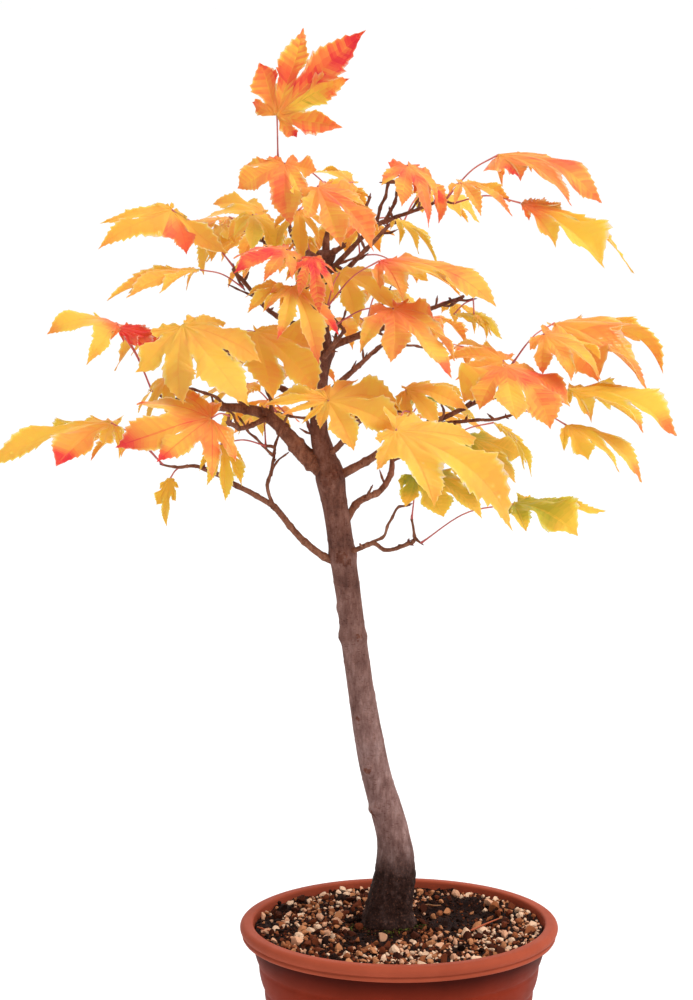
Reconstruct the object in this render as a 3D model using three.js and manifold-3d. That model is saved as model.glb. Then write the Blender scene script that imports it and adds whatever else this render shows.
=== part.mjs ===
// A small maple grown as a bonsai, in autumn leaf, in a round ribbed terracotta-coloured pot.
// Millimetres. +Z is up, +X is to the viewer's right and -Y is towards the viewer.
// The origin is the centre of the pot's flat underside.
import * as THREE from "three";
import { mergeVertices } from "three/addons/utils/BufferGeometryUtils.js";
import Module from "manifold-3d";

const wasm = await Module();
wasm.setup();
const { Manifold, Mesh: SolidMesh } = wasm;

// clearances
const GAP = 0.3; // between pieces that touch on the real plant
const CLEAR = 0.25; // a leaf nearer than this to another piece is left off
const SLIVER = 0.02; // edges shorter than this are closed up

// pot
const POT_HEIGHT = 140;
const RIM_RADIUS = 90;
const RIM_HEIGHT = 11;
const RIM_ROLL = 3.2;
const MOUTH_RADIUS = 82.5;
const NECK_RADIUS = 82.5; // wall just under the rim
const BASE_RADIUS = 58;
const WALL = 3;
const FLOOR = 4;
const RIB_PITCH = 14.6;
const RIB_COUNT = 8;
const RIB_BULGE = 1.2;
const WALL_CURVE = 1.2; // 1 is a straight cone, more is a bell
const ROUND_STEPS = 32;

// soil: bare and level where the trunk stands, heaped with grit towards the rim
const SOIL_TOP = 135; // height of the level patch
const SOIL_EDGE = 137; // height where it meets the pot
const SOIL_LEVEL_RADIUS = 36;
const SOIL_RADIUS = MOUTH_RADIUS - 1.5 - GAP;
const SOIL_RINGS = [SOIL_RADIUS, 70, 61, 51, 41, 29, 15];
const HOLLOW = { x: 31, y: 27, halfX: 27, halfY: 25, depth: 3 };
const HEAP_HEIGHT = 1.3;
const HEAP_PITCH = 29; // from one heap of grit to the next
const HEAP_CLEAR = 30; // no heaps this near the trunk

// trunk: its middle and half its thickness at a few heights, foot to top
const TRUNK = [
  { x: -6, y: 12, z: SOIL_TOP + GAP, r: 15.5 },
  { x: -6, y: 12, z: 143, r: 13 },
  { x: -2, y: 12, z: 165, r: 11.6 },
  { x: -2, y: 12, z: 186, r: 9.4 },
  { x: -13.2, y: 11, z: 223, r: 8.4 },
  { x: -22.4, y: 9, z: 277, r: 7.3 },
  { x: -30.4, y: 6, z: 339, r: 7 },
  { x: -39, y: 3, z: 394, r: 7 },
  { x: -45, y: 1, z: 420, r: 4.6 },
  { x: -44, y: 0, z: 446, r: 4.2 },
  { x: -42, y: 0, z: 492, r: 3.3 },
  { x: -41, y: 0, z: 520, r: 3 },
];
// swellings where limbs once grew or still do
const TRUNK_NODES = [
  { z: 302, swell: 0.8, spread: 4 },
  { z: 349, swell: 1.1, spread: 5 },
  { z: 394, swell: 1.2, spread: 9 },
  { z: 464, swell: 3.2, spread: 7 },
  { z: 513, swell: 0.8, spread: 5 },
];
const TRUNK_SIDES = 12;
const TRUNK_STEPS = 26;

// boughs: rooted on the trunk at a height, or on the bough named in on at a share of its length
const BOUGHS = [
  { name: "low_left_bough", at: 340, via: [-61, -1, 368], tip: [-108, -13, 400], r: [2.7, 1.4] },
  {
    name: "low_left_spur", on: "low_left_bough", at: 0.54,
    via: [-72, -8, 392], tip: [-70, -10, 408], r: [1.4, 1],
  },
  { name: "low_right_bough", at: 350, via: [-13, -4, 357], tip: [4, -20, 360], r: [2.1, 1.3] },
  { name: "left_main_bough", at: 398, via: [-72, -10, 426], tip: [-112, -26, 437], r: [4.4, 1.9] },
  {
    name: "front_left_bough", on: "left_main_bough", at: 0.5,
    via: [-86, -36, 425], tip: [-92, -60, 431], r: [1.8, 1.1],
  },
  { name: "right_main_bough", at: 392, via: [-6, -11, 412], tip: [40, -15, 436], r: [3.2, 1.7] },
  {
    name: "right_fork_bough", on: "right_main_bough", at: 0.7,
    via: [42, -22, 428], tip: [57, -25, 431], r: [1.5, 1],
  },
  { name: "right_curved_bough", at: 366, via: [-12, 22, 381], tip: [-3, 42, 400], r: [2.5, 1.6] },
  { name: "right_small_bough", at: 406, via: [-28, -18, 424], tip: [-14, -40, 439], r: [2, 1.2] },
  { name: "left_upper_bough", at: 440, via: [-66, 16, 441], tip: [-84, 22, 455], r: [2.3, 1.2] },
  { name: "centre_bough", at: 458, via: [-38, -18, 468], tip: [-32, -34, 477], r: [1.8, 1.1] },
  { name: "right_upper_bough", at: 466, via: [-10, -5, 477], tip: [30, -4, 492], r: [2.9, 1.3] },
  { name: "left_high_bough", at: 474, via: [-70, -5, 485], tip: [-89, -10, 507], r: [1.8, 1.1] },
  { name: "front_high_bough", at: 484, via: [-51, -22, 494], tip: [-55, -40, 503], r: [1.7, 1.1] },
  { name: "top_right_bough", at: 507, via: [-16, -2, 530], tip: [18, -8, 546], r: [2, 1.1] },
  {
    name: "top_spur", on: "top_right_bough", at: 0.6,
    via: [-4, -6, 545], tip: [-2, -9, 553], r: [1.2, 0.9],
  },
  { name: "top_right_low_bough", at: 500, via: [-18, 14, 519], tip: [-6, 26, 530], r: [1.8, 1.1] },
  { name: "top_left_bough", at: 499, via: [-56, 9, 515], tip: [-70, 15, 519], r: [1.7, 1] },
  { name: "top_bough", at: 509, via: [-56, -2, 521], tip: [-64, -3, 541], r: [1.9, 1.1] },
  { name: "back_low_bough", at: 385, via: [-42, 34, 397], tip: [-50, 62, 412], r: [2.4, 1.3] },
  { name: "back_mid_bough", at: 436, via: [-26, 30, 450], tip: [-8, 54, 462], r: [2.2, 1.2] },
  { name: "back_high_bough", at: 484, via: [-40, 24, 492], tip: [-36, 50, 503], r: [2, 1.2] },
];
const BOUGH_SIDES = 6;
const BOUGH_STEPS = 5;

// leaves: seven lobes about the point where the stalk joins, as shares of the longest
const LOBES = [
  { angle: -118, reach: 0.28 },
  { angle: -74, reach: 0.56 },
  { angle: -36, reach: 0.82 },
  { angle: 0, reach: 1 },
  { angle: 36, reach: 0.82 },
  { angle: 74, reach: 0.56 },
  { angle: 118, reach: 0.28 },
];
const SHOULDER_ANGLE = 16; // widest part of a lobe
const SHOULDER_REACH = 0.56;
const SINUS_REACH = 0.5; // how near the stalk the cuts between lobes come
const HEEL_REACH = 0.03;
const HEEL_ANGLE = 125;
const LEAF_THICKNESS = 1.2;
const STALK_RADIUS = 0.55;
const STALK_ARCH = 0.1;
const STALK_SUNK = 0.5; // into its twig
const FOLDED = 0.25; // cosine between stalk and blade, below which the blade folds back over the stalk
const TWIG_RADIUS = 0.8;
const STEM_LEAD = 4; // a stem runs straight on from its bough for this length

// what a leaf is unless it says otherwise; angles in degrees, bearings from +X towards +Y
const LEAF = {
  bearing: 270, // of the stalk, from the twig's end
  rise: 25, // of the stalk
  stalk: 24,
  heading: null, // bearing of the longest lobe's tip, the stalk's where null
  pitch: -28, // of the longest lobe's tip
  roll: 0, // turn about that lobe, 0 where the upper side is as level as it can be
  blade: 48, // stalk to the tip of the longest lobe, along its bend
  cup: 1, // how far the lobes hang, radians over the blade
  spread: 1, // below 1 the lobes are gathered, like a half-closed hand
};

// masses of leaves, each on one limb: twigs fork from its stem, and each bears leaves at its end
const MASSES = [
  {
    name: "top_mass", limb: "top_bough", tint: "ember", seed: 11, fill: 0,
    sprays: [
      {
        at: [-67, -5, 570],
        leaves: [
          {
            bearing: 263, rise: 83, stalk: 23,
            heading: 353, pitch: 45, roll: 80, blade: 66, cup: 0.4, spread: 0.9,
          },
        ],
      },
    ],
  },
  {
    name: "crown_mass", limb: "trunk", tint: "amber", seed: 15, fill: 0,
    sprays: [
      {
        at: [-38, -12, 553],
        leaves: [
          { bearing: 220, rise: 25, stalk: 36, heading: 264, pitch: -58, blade: 42, cup: 0.7, spread: 1.15 },
          { bearing: 258, rise: 6, stalk: 34, heading: 333, pitch: -42, roll: 20, blade: 50, cup: 0.8 },
        ],
      },
      {
        at: [-34, 10, 552],
        leaves: [
          { bearing: 48, rise: 8, stalk: 12, heading: 186, pitch: 10, roll: -30, blade: 28 },
          { bearing: 95, rise: 0, stalk: 18, blade: 40 },
          { bearing: 236, rise: -14, stalk: 40, heading: 275, pitch: -55, blade: 34, spread: 0.9 },
        ],
      },
    ],
  },
  {
    name: "crown_left_mass", limb: "top_left_bough", tint: "gold", seed: 13, fill: 0,
    sprays: [
      {
        at: [-76, 12, 531],
        leaves: [
          { bearing: 220, rise: 45, stalk: 12, heading: 192, pitch: -15, roll: -35, blade: 36 },
          { bearing: 262, rise: 15, stalk: 34, heading: 318, pitch: -50, blade: 34 },
        ],
      },
      {
        at: [-84, 32, 526],
        leaves: [
          { bearing: 187, rise: 18, stalk: 16, heading: 205, pitch: -65, blade: 34 },
          { bearing: 130, stalk: 20, blade: 44 },
        ],
      },
    ],
  },
  {
    name: "high_left_mass", limb: "left_high_bough", tint: "amber", seed: 12, fill: 0,
    sprays: [
      {
        at: [-91, -12, 511],
        leaves: [
          { bearing: 185, rise: 43, stalk: 46, heading: 190, pitch: -24, roll: -62, blade: 45, cup: 0.5 },
        ],
      },
      {
        at: [-86, -14, 500],
        leaves: [
          {
            bearing: 195, rise: 23, stalk: 26,
            heading: 187, pitch: -15, roll: -6, blade: 53, cup: 0.5, spread: 0.5,
          },
        ],
      },
    ],
  },
  {
    name: "crown_front_mass", limb: "front_high_bough", tint: "ember", seed: 14, fill: 0,
    sprays: [
      {
        at: [-54, -50, 516],
        leaves: [
          { bearing: 243, rise: 28, stalk: 18, heading: 204, pitch: -25, roll: -25, blade: 36 },
          { bearing: 290, rise: 15, stalk: 18, heading: 282, pitch: -64, blade: 33, spread: 0.8 },
        ],
      },
      {
        at: [-57, -50, 499],
        leaves: [
          { bearing: 262, rise: 25, stalk: 14, heading: 300, pitch: -58, blade: 44, spread: 0.8 },
          {
            bearing: 235, rise: 30, stalk: 11,
            heading: 206, pitch: -28, roll: -34, blade: 27, spread: 0.7,
          },
        ],
      },
    ],
  },
  {
    name: "centre_mass", limb: "centre_bough", tint: "amber", seed: 20, fill: 0,
    sprays: [
      {
        at: [-40, -40, 492],
        leaves: [
          { bearing: 75, rise: 38, stalk: 30, heading: 335, pitch: -33, roll: 25, blade: 46 },
          {
            bearing: 335, rise: 37, stalk: 40,
            heading: 350, pitch: -23, roll: 12, blade: 71, cup: 1.1, spread: 0.75,
          },
        ],
      },
      {
        at: [-36, -40, 482],
        leaves: [
          { bearing: 322, rise: 16, stalk: 41, heading: 319, pitch: -49, roll: 15, blade: 56, cup: 0.9 },
        ],
      },
    ],
  },
  {
    name: "top_right_mass", limb: "top_right_bough", tint: "amber", seed: 16, fill: 0,
    sprays: [
      {
        at: [25, -14, 549],
        leaves: [
          {
            bearing: 348, rise: 40, stalk: 36,
            heading: 352, pitch: -23, roll: 14, blade: 63, cup: 1.2, spread: 0.7,
          },
          { bearing: 285, rise: 20, stalk: 26, heading: 338, pitch: -28, roll: 15, blade: 38 },
        ],
      },
      {
        at: [28, -18, 546],
        leaves: [
          {
            bearing: 332, rise: 2, stalk: 40,
            heading: 352, pitch: -26, roll: 26, blade: 72, cup: 0.7, spread: 0.5,
          },
        ],
      },
    ],
  },
  {
    name: "inner_right_mass", limb: "top_spur", tint: "ember", seed: 17, fill: 0,
    sprays: [
      {
        at: [-10, -14, 557],
        leaves: [
          { bearing: 290, rise: 24, stalk: 22, heading: 305, pitch: -56, blade: 38 },
          { bearing: 5, rise: 30, stalk: 22, heading: 336, pitch: -30, roll: 20, blade: 26, spread: 0.8 },
        ],
      },
    ],
  },
  {
    name: "right_high_mass", limb: "top_right_low_bough", tint: "gold", seed: 18, fill: 0,
    sprays: [
      {
        at: [2, 34, 532],
        leaves: [
          { bearing: 255, rise: 10, stalk: 22, heading: 335, pitch: -46, blade: 38, spread: 0.6 },
          { bearing: 50, rise: 45 },
          { bearing: 150, rise: 0 },
        ],
      },
    ],
  },
  {
    name: "right_upper_mass", limb: "right_upper_bough", tint: "gold", seed: 19, fill: 0,
    sprays: [
      {
        at: [40, 4, 492],
        leaves: [
          { bearing: 200, rise: -35, stalk: 14, heading: 345, pitch: -25, roll: 10, blade: 30, spread: 0.5 },
          { bearing: 270, rise: -30, stalk: 12, heading: 330, pitch: -50, blade: 19, spread: 0.4 },
        ],
      },
      { at: [20, 28, 486], leaves: [{ bearing: 50, rise: 0, stalk: 18, pitch: -40, blade: 26 }] },
    ],
  },
  {
    name: "left_mass", limb: "left_main_bough", tint: "gold", seed: 21, fill: 0,
    sprays: [
      {
        at: [-135, -30, 445],
        leaves: [
          { bearing: 180, rise: 66, stalk: 41, heading: 190, pitch: -5, roll: -16, blade: 41, cup: 1.1 },
          { bearing: 190, rise: 62, stalk: 39, heading: 350, pitch: -18, roll: 40, blade: 28, spread: 0.5 },
        ],
      },
      {
        at: [-120, -36, 446],
        leaves: [
          { bearing: 235, rise: 42, stalk: 12, heading: 227, pitch: -56, blade: 34 },
        ],
      },
    ],
  },
  {
    name: "left_front_mass", limb: "front_left_bough", tint: "amber", seed: 22, fill: 0,
    sprays: [
      {
        at: [-92, -70, 437],
        leaves: [
          { bearing: 241, rise: 2, stalk: 18, heading: 190, pitch: -18, roll: -55, blade: 56, cup: 0.9 },
        ],
      },
    ],
  },
  {
    name: "left_upper_mass", limb: "left_upper_bough", tint: "gold", seed: 23, fill: 0,
    sprays: [
      {
        at: [-104, -22, 468],
        leaves: [
          { bearing: 251, rise: 22, stalk: 42, heading: 312, pitch: -40, roll: 32, blade: 66, cup: 0.8 },
        ],
      },
      {
        at: [-90, 6, 468],
        leaves: [
          { bearing: 272, rise: 22, stalk: 32, heading: 330, pitch: -36, roll: 28, blade: 58, cup: 0.8 },
        ],
      },
      { at: [-104, 40, 466], leaves: [{ bearing: 178, rise: 12, blade: 42 }, { bearing: 85, rise: 0 }] },
    ],
  },
  {
    name: "low_left_mass", limb: "low_left_bough", tint: "gold", seed: 24, fill: 0,
    sprays: [
      {
        at: [-130, -24, 404],
        leaves: [
          {
            bearing: 202, rise: 40, stalk: 38,
            heading: 189, pitch: -19, roll: -14, blade: 72, cup: 0.9, spread: 0.8,
          },
          { bearing: 140, rise: 22, stalk: 34, heading: 158, pitch: -14, blade: 44 },
        ],
      },
      {
        at: [-122, -15, 401],
        leaves: [
          { bearing: 200, rise: -50, stalk: 7, heading: 250, pitch: -75, blade: 26, cup: 0.4, spread: 0.6 },
        ],
      },
    ],
  },
  {
    name: "spur_mass", limb: "low_left_spur", tint: "gold", seed: 25, fill: 0,
    sprays: [
      {
        at: [-74, -14, 413],
        leaves: [
          { bearing: 210, rise: 6, stalk: 28, heading: 285, pitch: -68, blade: 34, spread: 0.7 },
          { bearing: 95, rise: -8, stalk: 26, blade: 36 },
        ],
      },
    ],
  },
  {
    name: "centre_front_mass", limb: "right_small_bough", tint: "gold", seed: 26, fill: 0,
    sprays: [
      {
        at: [-18, -60, 438],
        leaves: [
          {
            bearing: 210, rise: 16, stalk: 26,
            heading: 346, pitch: -20, roll: 42, blade: 48, cup: 0.7, spread: 1.1,
          },
          {
            bearing: 208, rise: 18, stalk: 25,
            heading: 192, pitch: -4, roll: -55, blade: 38, cup: 0.7, spread: 0.5,
          },
        ],
      },
      {
        at: [4, -62, 438],
        leaves: [
          { bearing: 260, rise: -5, stalk: 46, heading: 347, pitch: -33, roll: 34, blade: 88, cup: 0.7 },
          { bearing: 100, rise: 45, stalk: 15, heading: 342, pitch: -14, roll: 30, blade: 40 },
        ],
      },
    ],
  },
  {
    name: "right_mass", limb: "right_main_bough", tint: "amber", seed: 27, fill: 0,
    sprays: [
      {
        at: [61, -22, 460],
        leaves: [
          {
            bearing: 42, rise: 32, stalk: 37,
            heading: 4, pitch: -17, roll: 10, blade: 74, cup: 1, spread: 0.75,
          },
          {
            bearing: 300, rise: 31, stalk: 35,
            heading: 345, pitch: -34, roll: 26, blade: 48, cup: 0.8, spread: 0.9,
          },
        ],
      },
      {
        at: [52, -34, 442],
        leaves: [
          { bearing: 276, rise: 38, stalk: 32, heading: 320, pitch: -41, roll: 15, blade: 50 },
          { bearing: 70, rise: 70, stalk: 22, heading: 182, pitch: 5, roll: -35, blade: 36 },
        ],
      },
    ],
  },
  {
    name: "right_low_mass", limb: "right_fork_bough", tint: "amber", seed: 28, fill: 0,
    sprays: [
      {
        at: [66, -26, 434],
        leaves: [
          {
            bearing: 351, rise: 25, stalk: 27,
            heading: 354, pitch: -18, roll: 14, blade: 66, cup: 0.9, spread: 0.65,
          },
          {
            bearing: 345, rise: -16, stalk: 25,
            heading: 348, pitch: -33, roll: 6, blade: 52, cup: 1.1, spread: 0.7,
          },
        ],
      },
    ],
  },
  {
    name: "low_right_mass", limb: "low_right_bough", tint: "lime", seed: 29, fill: 0,
    sprays: [
      {
        at: [11, -26, 361],
        leaves: [
          {
            bearing: 334, rise: 23, stalk: 60,
            heading: 351, pitch: -9, roll: 6, blade: 56, cup: 0.9, spread: 0.9,
          },
        ],
      },
      {
        at: [6, -24, 374],
        leaves: [
          { bearing: 295, rise: 54, stalk: 30, heading: 332, pitch: -34, roll: 20, blade: 44 },
        ],
      },
    ],
  },
  {
    name: "right_back_mass", limb: "right_curved_bough", tint: "lime", seed: 30, fill: 1,
    sprays: [
      {
        at: [22, 40, 404],
        leaves: [
          { bearing: 310, rise: 19, stalk: 28, heading: 339, pitch: -42, roll: 26, blade: 42 },
          { bearing: 10, rise: 20, stalk: 34, heading: 345, pitch: -55, blade: 44, spread: 0.6 },
        ],
      },
      { at: [4, 76, 410], leaves: [{ bearing: 45, rise: 45 }, { bearing: 135, rise: 0 }] },
    ],
  },
  {
    name: "back_low_mass", limb: "back_low_bough", tint: "gold", seed: 31, fill: 1,
    sprays: [
      { at: [-70, 78, 420], leaves: [{ bearing: 190, rise: 45 }, { bearing: 110, rise: 0 }] },
      { at: [-44, 86, 426], leaves: [{ bearing: 45, rise: 0 }, { bearing: 120, rise: 50 }] },
    ],
  },
  {
    name: "back_mid_mass", limb: "back_mid_bough", tint: "amber", seed: 32, fill: 0,
    sprays: [
      { at: [14, 72, 458], leaves: [{ bearing: 10, rise: 0 }, { bearing: 80, rise: 40 }] },
      { at: [-18, 78, 472], leaves: [{ bearing: 70, rise: 45 }, { bearing: 160, rise: 0 }] },
    ],
  },
  {
    name: "back_high_mass", limb: "back_high_bough", tint: "gold", seed: 33, fill: 0,
    sprays: [
      { at: [-22, 68, 511], leaves: [{ bearing: 30, rise: 0 }, { bearing: 90, rise: 50 }] },
      { at: [-56, 66, 510], leaves: [{ bearing: 125, rise: 0 }, { bearing: 200, rise: 45 }] },
    ],
  },
];

const COLORS = {
  pot: 0xa8503a,
  soil: 0x5a3a28,
  bark: 0x6b4a42,
  gold: 0xf6b92a,
  amber: 0xf0952e,
  ember: 0xe8602c,
  lime: 0xc9c23a,
};

// repeatable draws between 0 and 1
function seeded(seed) {
  let state = seed >>> 0;
  return () => {
    state = (state + 0x6d2b79f5) >>> 0;
    let t = Math.imul(state ^ (state >>> 15), state | 1);
    t ^= t + Math.imul(t ^ (t >>> 7), t | 61);
    return ((t ^ (t >>> 14)) >>> 0) / 4294967296;
  };
}

const lerp = THREE.MathUtils.lerp;
const rad = THREE.MathUtils.degToRad;
const vec = (p) => new THREE.Vector3(...p);
const curveOf = (points) => new THREE.CatmullRomCurve3(points, false, "centripetal");

// unit vector at a bearing and a rise, both in degrees
function direction(bearing, rise) {
  const b = rad(bearing);
  const e = rad(rise);
  return new THREE.Vector3(Math.cos(e) * Math.cos(b), Math.cos(e) * Math.sin(b), Math.sin(e));
}

function geometryOf(points, faces) {
  const geometry = new THREE.BufferGeometry();
  const numbers = points.flatMap((p) => p.toArray());
  geometry.setAttribute("position", new THREE.Float32BufferAttribute(numbers, 3));
  geometry.setIndex(faces.flat());
  return geometry;
}

function solidOf(geometry) {
  return new Manifold(new SolidMesh({
    numProp: 3,
    vertProperties: geometry.attributes.position.array,
    triVerts: Uint32Array.from(geometry.index.array),
  }));
}

// a closed round limb along a curve, flat at both ends; swell fattens it and lengthens both ends
function limbGeometry(curve, radiusAt, sides, steps, swell = 0) {
  const frames = curve.computeFrenetFrames(steps, false);
  const points = [];
  const faces = [];
  for (let i = 0; i <= steps; i++) {
    const u = i / steps;
    const middle = curve.getPointAt(u);
    const end = i === 0 ? -swell : i === steps ? swell : 0;
    middle.addScaledVector(frames.tangents[i], end);
    for (let j = 0; j < sides; j++) {
      const a = (2 * Math.PI * j) / sides;
      const out = frames.normals[i].clone().multiplyScalar(Math.cos(a));
      out.addScaledVector(frames.binormals[i], Math.sin(a));
      points.push(middle.clone().addScaledVector(out, radiusAt(u) + swell));
    }
  }
  for (let i = 0; i < steps; i++) {
    for (let j = 0; j < sides; j++) {
      const k = (j + 1) % sides;
      const low = i * sides;
      const high = low + sides;
      faces.push([low + j, low + k, high + k], [low + j, high + k, high + j]);
    }
  }
  const last = steps * sides;
  for (let j = 1; j < sides - 1; j++) {
    faces.push([0, j + 1, j], [last, last + j, last + j + 1]);
  }
  return geometryOf(points, faces);
}

// the largest body of a solid, so that loose scraps go and sealed hollows are filled
function largest(solid) {
  const bodies = solid.decompose();
  return bodies.reduce((best, body) => (body.volume() > best.volume() ? body : best));
}

function meshOf(name, solid, color, roughness) {
  const data = solid.getMesh();
  const geometry = new THREE.BufferGeometry();
  geometry.setAttribute("position", new THREE.Float32BufferAttribute(data.vertProperties, 3));
  geometry.setIndex([...data.triVerts]);
  geometry.computeVertexNormals();
  const mesh = new THREE.Mesh(geometry, new THREE.MeshStandardMaterial({ color, roughness, metalness: 0 }));
  mesh.name = name;
  return mesh;
}

// a closed profile of [radius, height] pairs that begins and ends on the axis, turned about it
function turned(profile) {
  const points = profile.map(([r, z]) => new THREE.Vector2(r, z));
  const geometry = new THREE.LatheGeometry(points, ROUND_STEPS).rotateX(Math.PI / 2);
  geometry.deleteAttribute("normal");
  geometry.deleteAttribute("uv");
  return solidOf(mergeVertices(geometry, 1e-4));
}

const WALL_TOP = POT_HEIGHT - RIM_HEIGHT;

// half the pot's width outside, without its ribs
function wallRadius(z) {
  const down = 1 - Math.min(z, WALL_TOP) / WALL_TOP;
  return NECK_RADIUS - (NECK_RADIUS - BASE_RADIUS) * (1 - (1 - down) ** WALL_CURVE);
}

function potSolid() {
  const profile = [[0, 0], [BASE_RADIUS - 2, 0], [BASE_RADIUS, 2]];
  const ribFoot = WALL_TOP - RIB_COUNT * RIB_PITCH;
  for (let i = 0; i < RIB_COUNT; i++) {
    const groove = ribFoot + i * RIB_PITCH;
    const crest = groove + RIB_PITCH / 2;
    profile.push([wallRadius(groove), groove], [wallRadius(crest) + RIB_BULGE, crest]);
  }
  profile.push(
    [NECK_RADIUS, WALL_TOP],
    [RIM_RADIUS - RIM_ROLL / 2, WALL_TOP],
    [RIM_RADIUS, WALL_TOP + RIM_ROLL],
    [RIM_RADIUS, POT_HEIGHT - RIM_ROLL],
    [RIM_RADIUS - RIM_ROLL / 2, POT_HEIGHT],
    [MOUTH_RADIUS + RIM_ROLL / 2, POT_HEIGHT],
    [MOUTH_RADIUS, POT_HEIGHT - RIM_ROLL / 2],
    [MOUTH_RADIUS - 1.5, WALL_TOP],
    [wallRadius(WALL_TOP / 2) - WALL, WALL_TOP / 2],
    [wallRadius(FLOOR) - WALL, FLOOR],
    [0, FLOOR],
  );
  return turned(profile);
}

// height of the soil's surface
function soilHeight(x, y) {
  const rise = THREE.MathUtils.smoothstep(Math.hypot(x, y), SOIL_LEVEL_RADIUS, SOIL_RADIUS);
  const far = Math.hypot((x - HOLLOW.x) / HOLLOW.halfX, (y - HOLLOW.y) / HOLLOW.halfY);
  const bare = THREE.MathUtils.smoothstep(1.15 - far, 0, 0.45);
  const foot = Math.hypot(x - TRUNK[0].x, y - TRUNK[0].y);
  const heaped = (1 - bare) * THREE.MathUtils.smoothstep(foot, HEAP_CLEAR, HEAP_CLEAR + 12);
  const turn = (2 * Math.PI) / HEAP_PITCH;
  const heap = HEAP_HEIGHT * Math.sin(turn * (x + 0.4 * y)) * Math.sin(turn * (y - 0.4 * x));
  return lerp(SOIL_TOP, SOIL_EDGE, rise) + heaped * heap - bare * HOLLOW.depth * foothold(foot);
}

// 0 under the trunk's foot and 1 clear of it
function foothold(foot) {
  return THREE.MathUtils.smoothstep(foot, TRUNK[0].r + 2, TRUNK[0].r + 14);
}

function soilSolid() {
  const middle = WALL_TOP / 2;
  const rings = [
    [wallRadius(FLOOR) - WALL - GAP, FLOOR + GAP],
    [wallRadius(middle) - WALL - GAP, middle],
    [SOIL_RADIUS, WALL_TOP],
    ...SOIL_RINGS.map((r) => [r, null]),
  ];
  const points = [new THREE.Vector3(0, 0, FLOOR + GAP), new THREE.Vector3(0, 0, soilHeight(0, 0))];
  const faces = [];
  rings.forEach(([r, z], i) => {
    for (let j = 0; j < ROUND_STEPS; j++) {
      const a = (2 * Math.PI * j) / ROUND_STEPS;
      const x = r * Math.cos(a);
      const y = r * Math.sin(a);
      points.push(new THREE.Vector3(x, y, z ?? soilHeight(x, y)));
      const k = (j + 1) % ROUND_STEPS;
      const low = 2 + i * ROUND_STEPS;
      const high = low + ROUND_STEPS;
      if (i === 0) {
        faces.push([0, low + k, low + j]);
      }
      if (i < rings.length - 1) {
        faces.push([low + j, low + k, high + k], [low + j, high + k, high + j]);
      } else {
        faces.push([1, low + j, low + k]);
      }
    }
  });
  return solidOf(geometryOf(points, faces));
}

function trunkRadius(z) {
  let i = 1;
  while (i < TRUNK.length - 1 && TRUNK[i].z < z) {
    i += 1;
  }
  const low = TRUNK[i - 1];
  const high = TRUNK[i];
  const share = THREE.MathUtils.clamp((z - low.z) / (high.z - low.z), 0, 1);
  const swell = TRUNK_NODES.reduce((sum, n) => sum + n.swell * Math.exp(-(((z - n.z) / n.spread) ** 2)), 0);
  return lerp(low.r, high.r, share) + swell;
}

const limbs = new Map();
const pieces = []; // every solid placed so far, with the node that it belongs to

function place(node, solid) {
  const box = solid.boundingBox();
  pieces.push({ node, solid, box });
}

function near(a, b) {
  return [0, 1, 2].every((k) => a.min[k] < b.max[k] + CLEAR && b.min[k] < a.max[k] + CLEAR);
}

// the pieces of other nodes that a solid of one node would touch
function touching(node, solid) {
  const box = solid.boundingBox();
  return pieces.filter((piece) => {
    const apart = piece.node === node || !near(box, piece.box);
    return !apart && solid.minGap(piece.solid, CLEAR) < CLEAR;
  });
}

function growTrunk() {
  const curve = curveOf(TRUNK.map((s) => new THREE.Vector3(s.x, s.y, s.z)));
  const radiusAt = (u) => trunkRadius(curve.getPointAt(u).z);
  const solid = solidOf(limbGeometry(curve, radiusAt, TRUNK_SIDES, TRUNK_STEPS));
  const swollen = solidOf(limbGeometry(curve, radiusAt, TRUNK_SIDES, TRUNK_STEPS, GAP));
  limbs.set("trunk", { curve, radiusAt, solid, swollen });
  place("trunk", solid);
}

// where along the trunk a height lies, by halving
function trunkShare(z) {
  const { curve } = limbs.get("trunk");
  let low = 0;
  let high = 1;
  for (let i = 0; i < 24; i++) {
    const middle = (low + high) / 2;
    if (curve.getPointAt(middle).z < z) {
      low = middle;
    } else {
      high = middle;
    }
  }
  return low;
}

function growBough(bough) {
  const parent = limbs.get(bough.on ?? "trunk");
  const root = parent.curve.getPointAt(bough.on ? bough.at : trunkShare(bough.at));
  const curve = curveOf([root, vec(bough.via), vec(bough.tip)]);
  const radiusAt = (u) => lerp(bough.r[0], bough.r[1], u);
  const whole = solidOf(limbGeometry(curve, radiusAt, BOUGH_SIDES, BOUGH_STEPS));
  const swollen = solidOf(limbGeometry(curve, radiusAt, BOUGH_SIDES, BOUGH_STEPS, GAP));
  const solid = largest(whole.subtract(parent.swollen));
  limbs.set(bough.name, { curve, radiusAt, solid, swollen });
  place(bough.name, solid);
}

// the point of a hanging blade at an angle from its longest lobe and a share of its length
function bladePoint(leaf, angle, reach) {
  const hang = leaf.cup * reach;
  const out = (Math.sin(hang) / leaf.cup) * leaf.blade;
  const drop = ((1 - Math.cos(hang)) / leaf.cup) * leaf.blade;
  const point = leaf.joint.clone().addScaledVector(leaf.up, -drop);
  point.addScaledVector(leaf.ahead, out * Math.cos(rad(angle * leaf.spread)));
  return point.addScaledVector(leaf.side, out * Math.sin(rad(angle * leaf.spread)));
}

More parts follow.
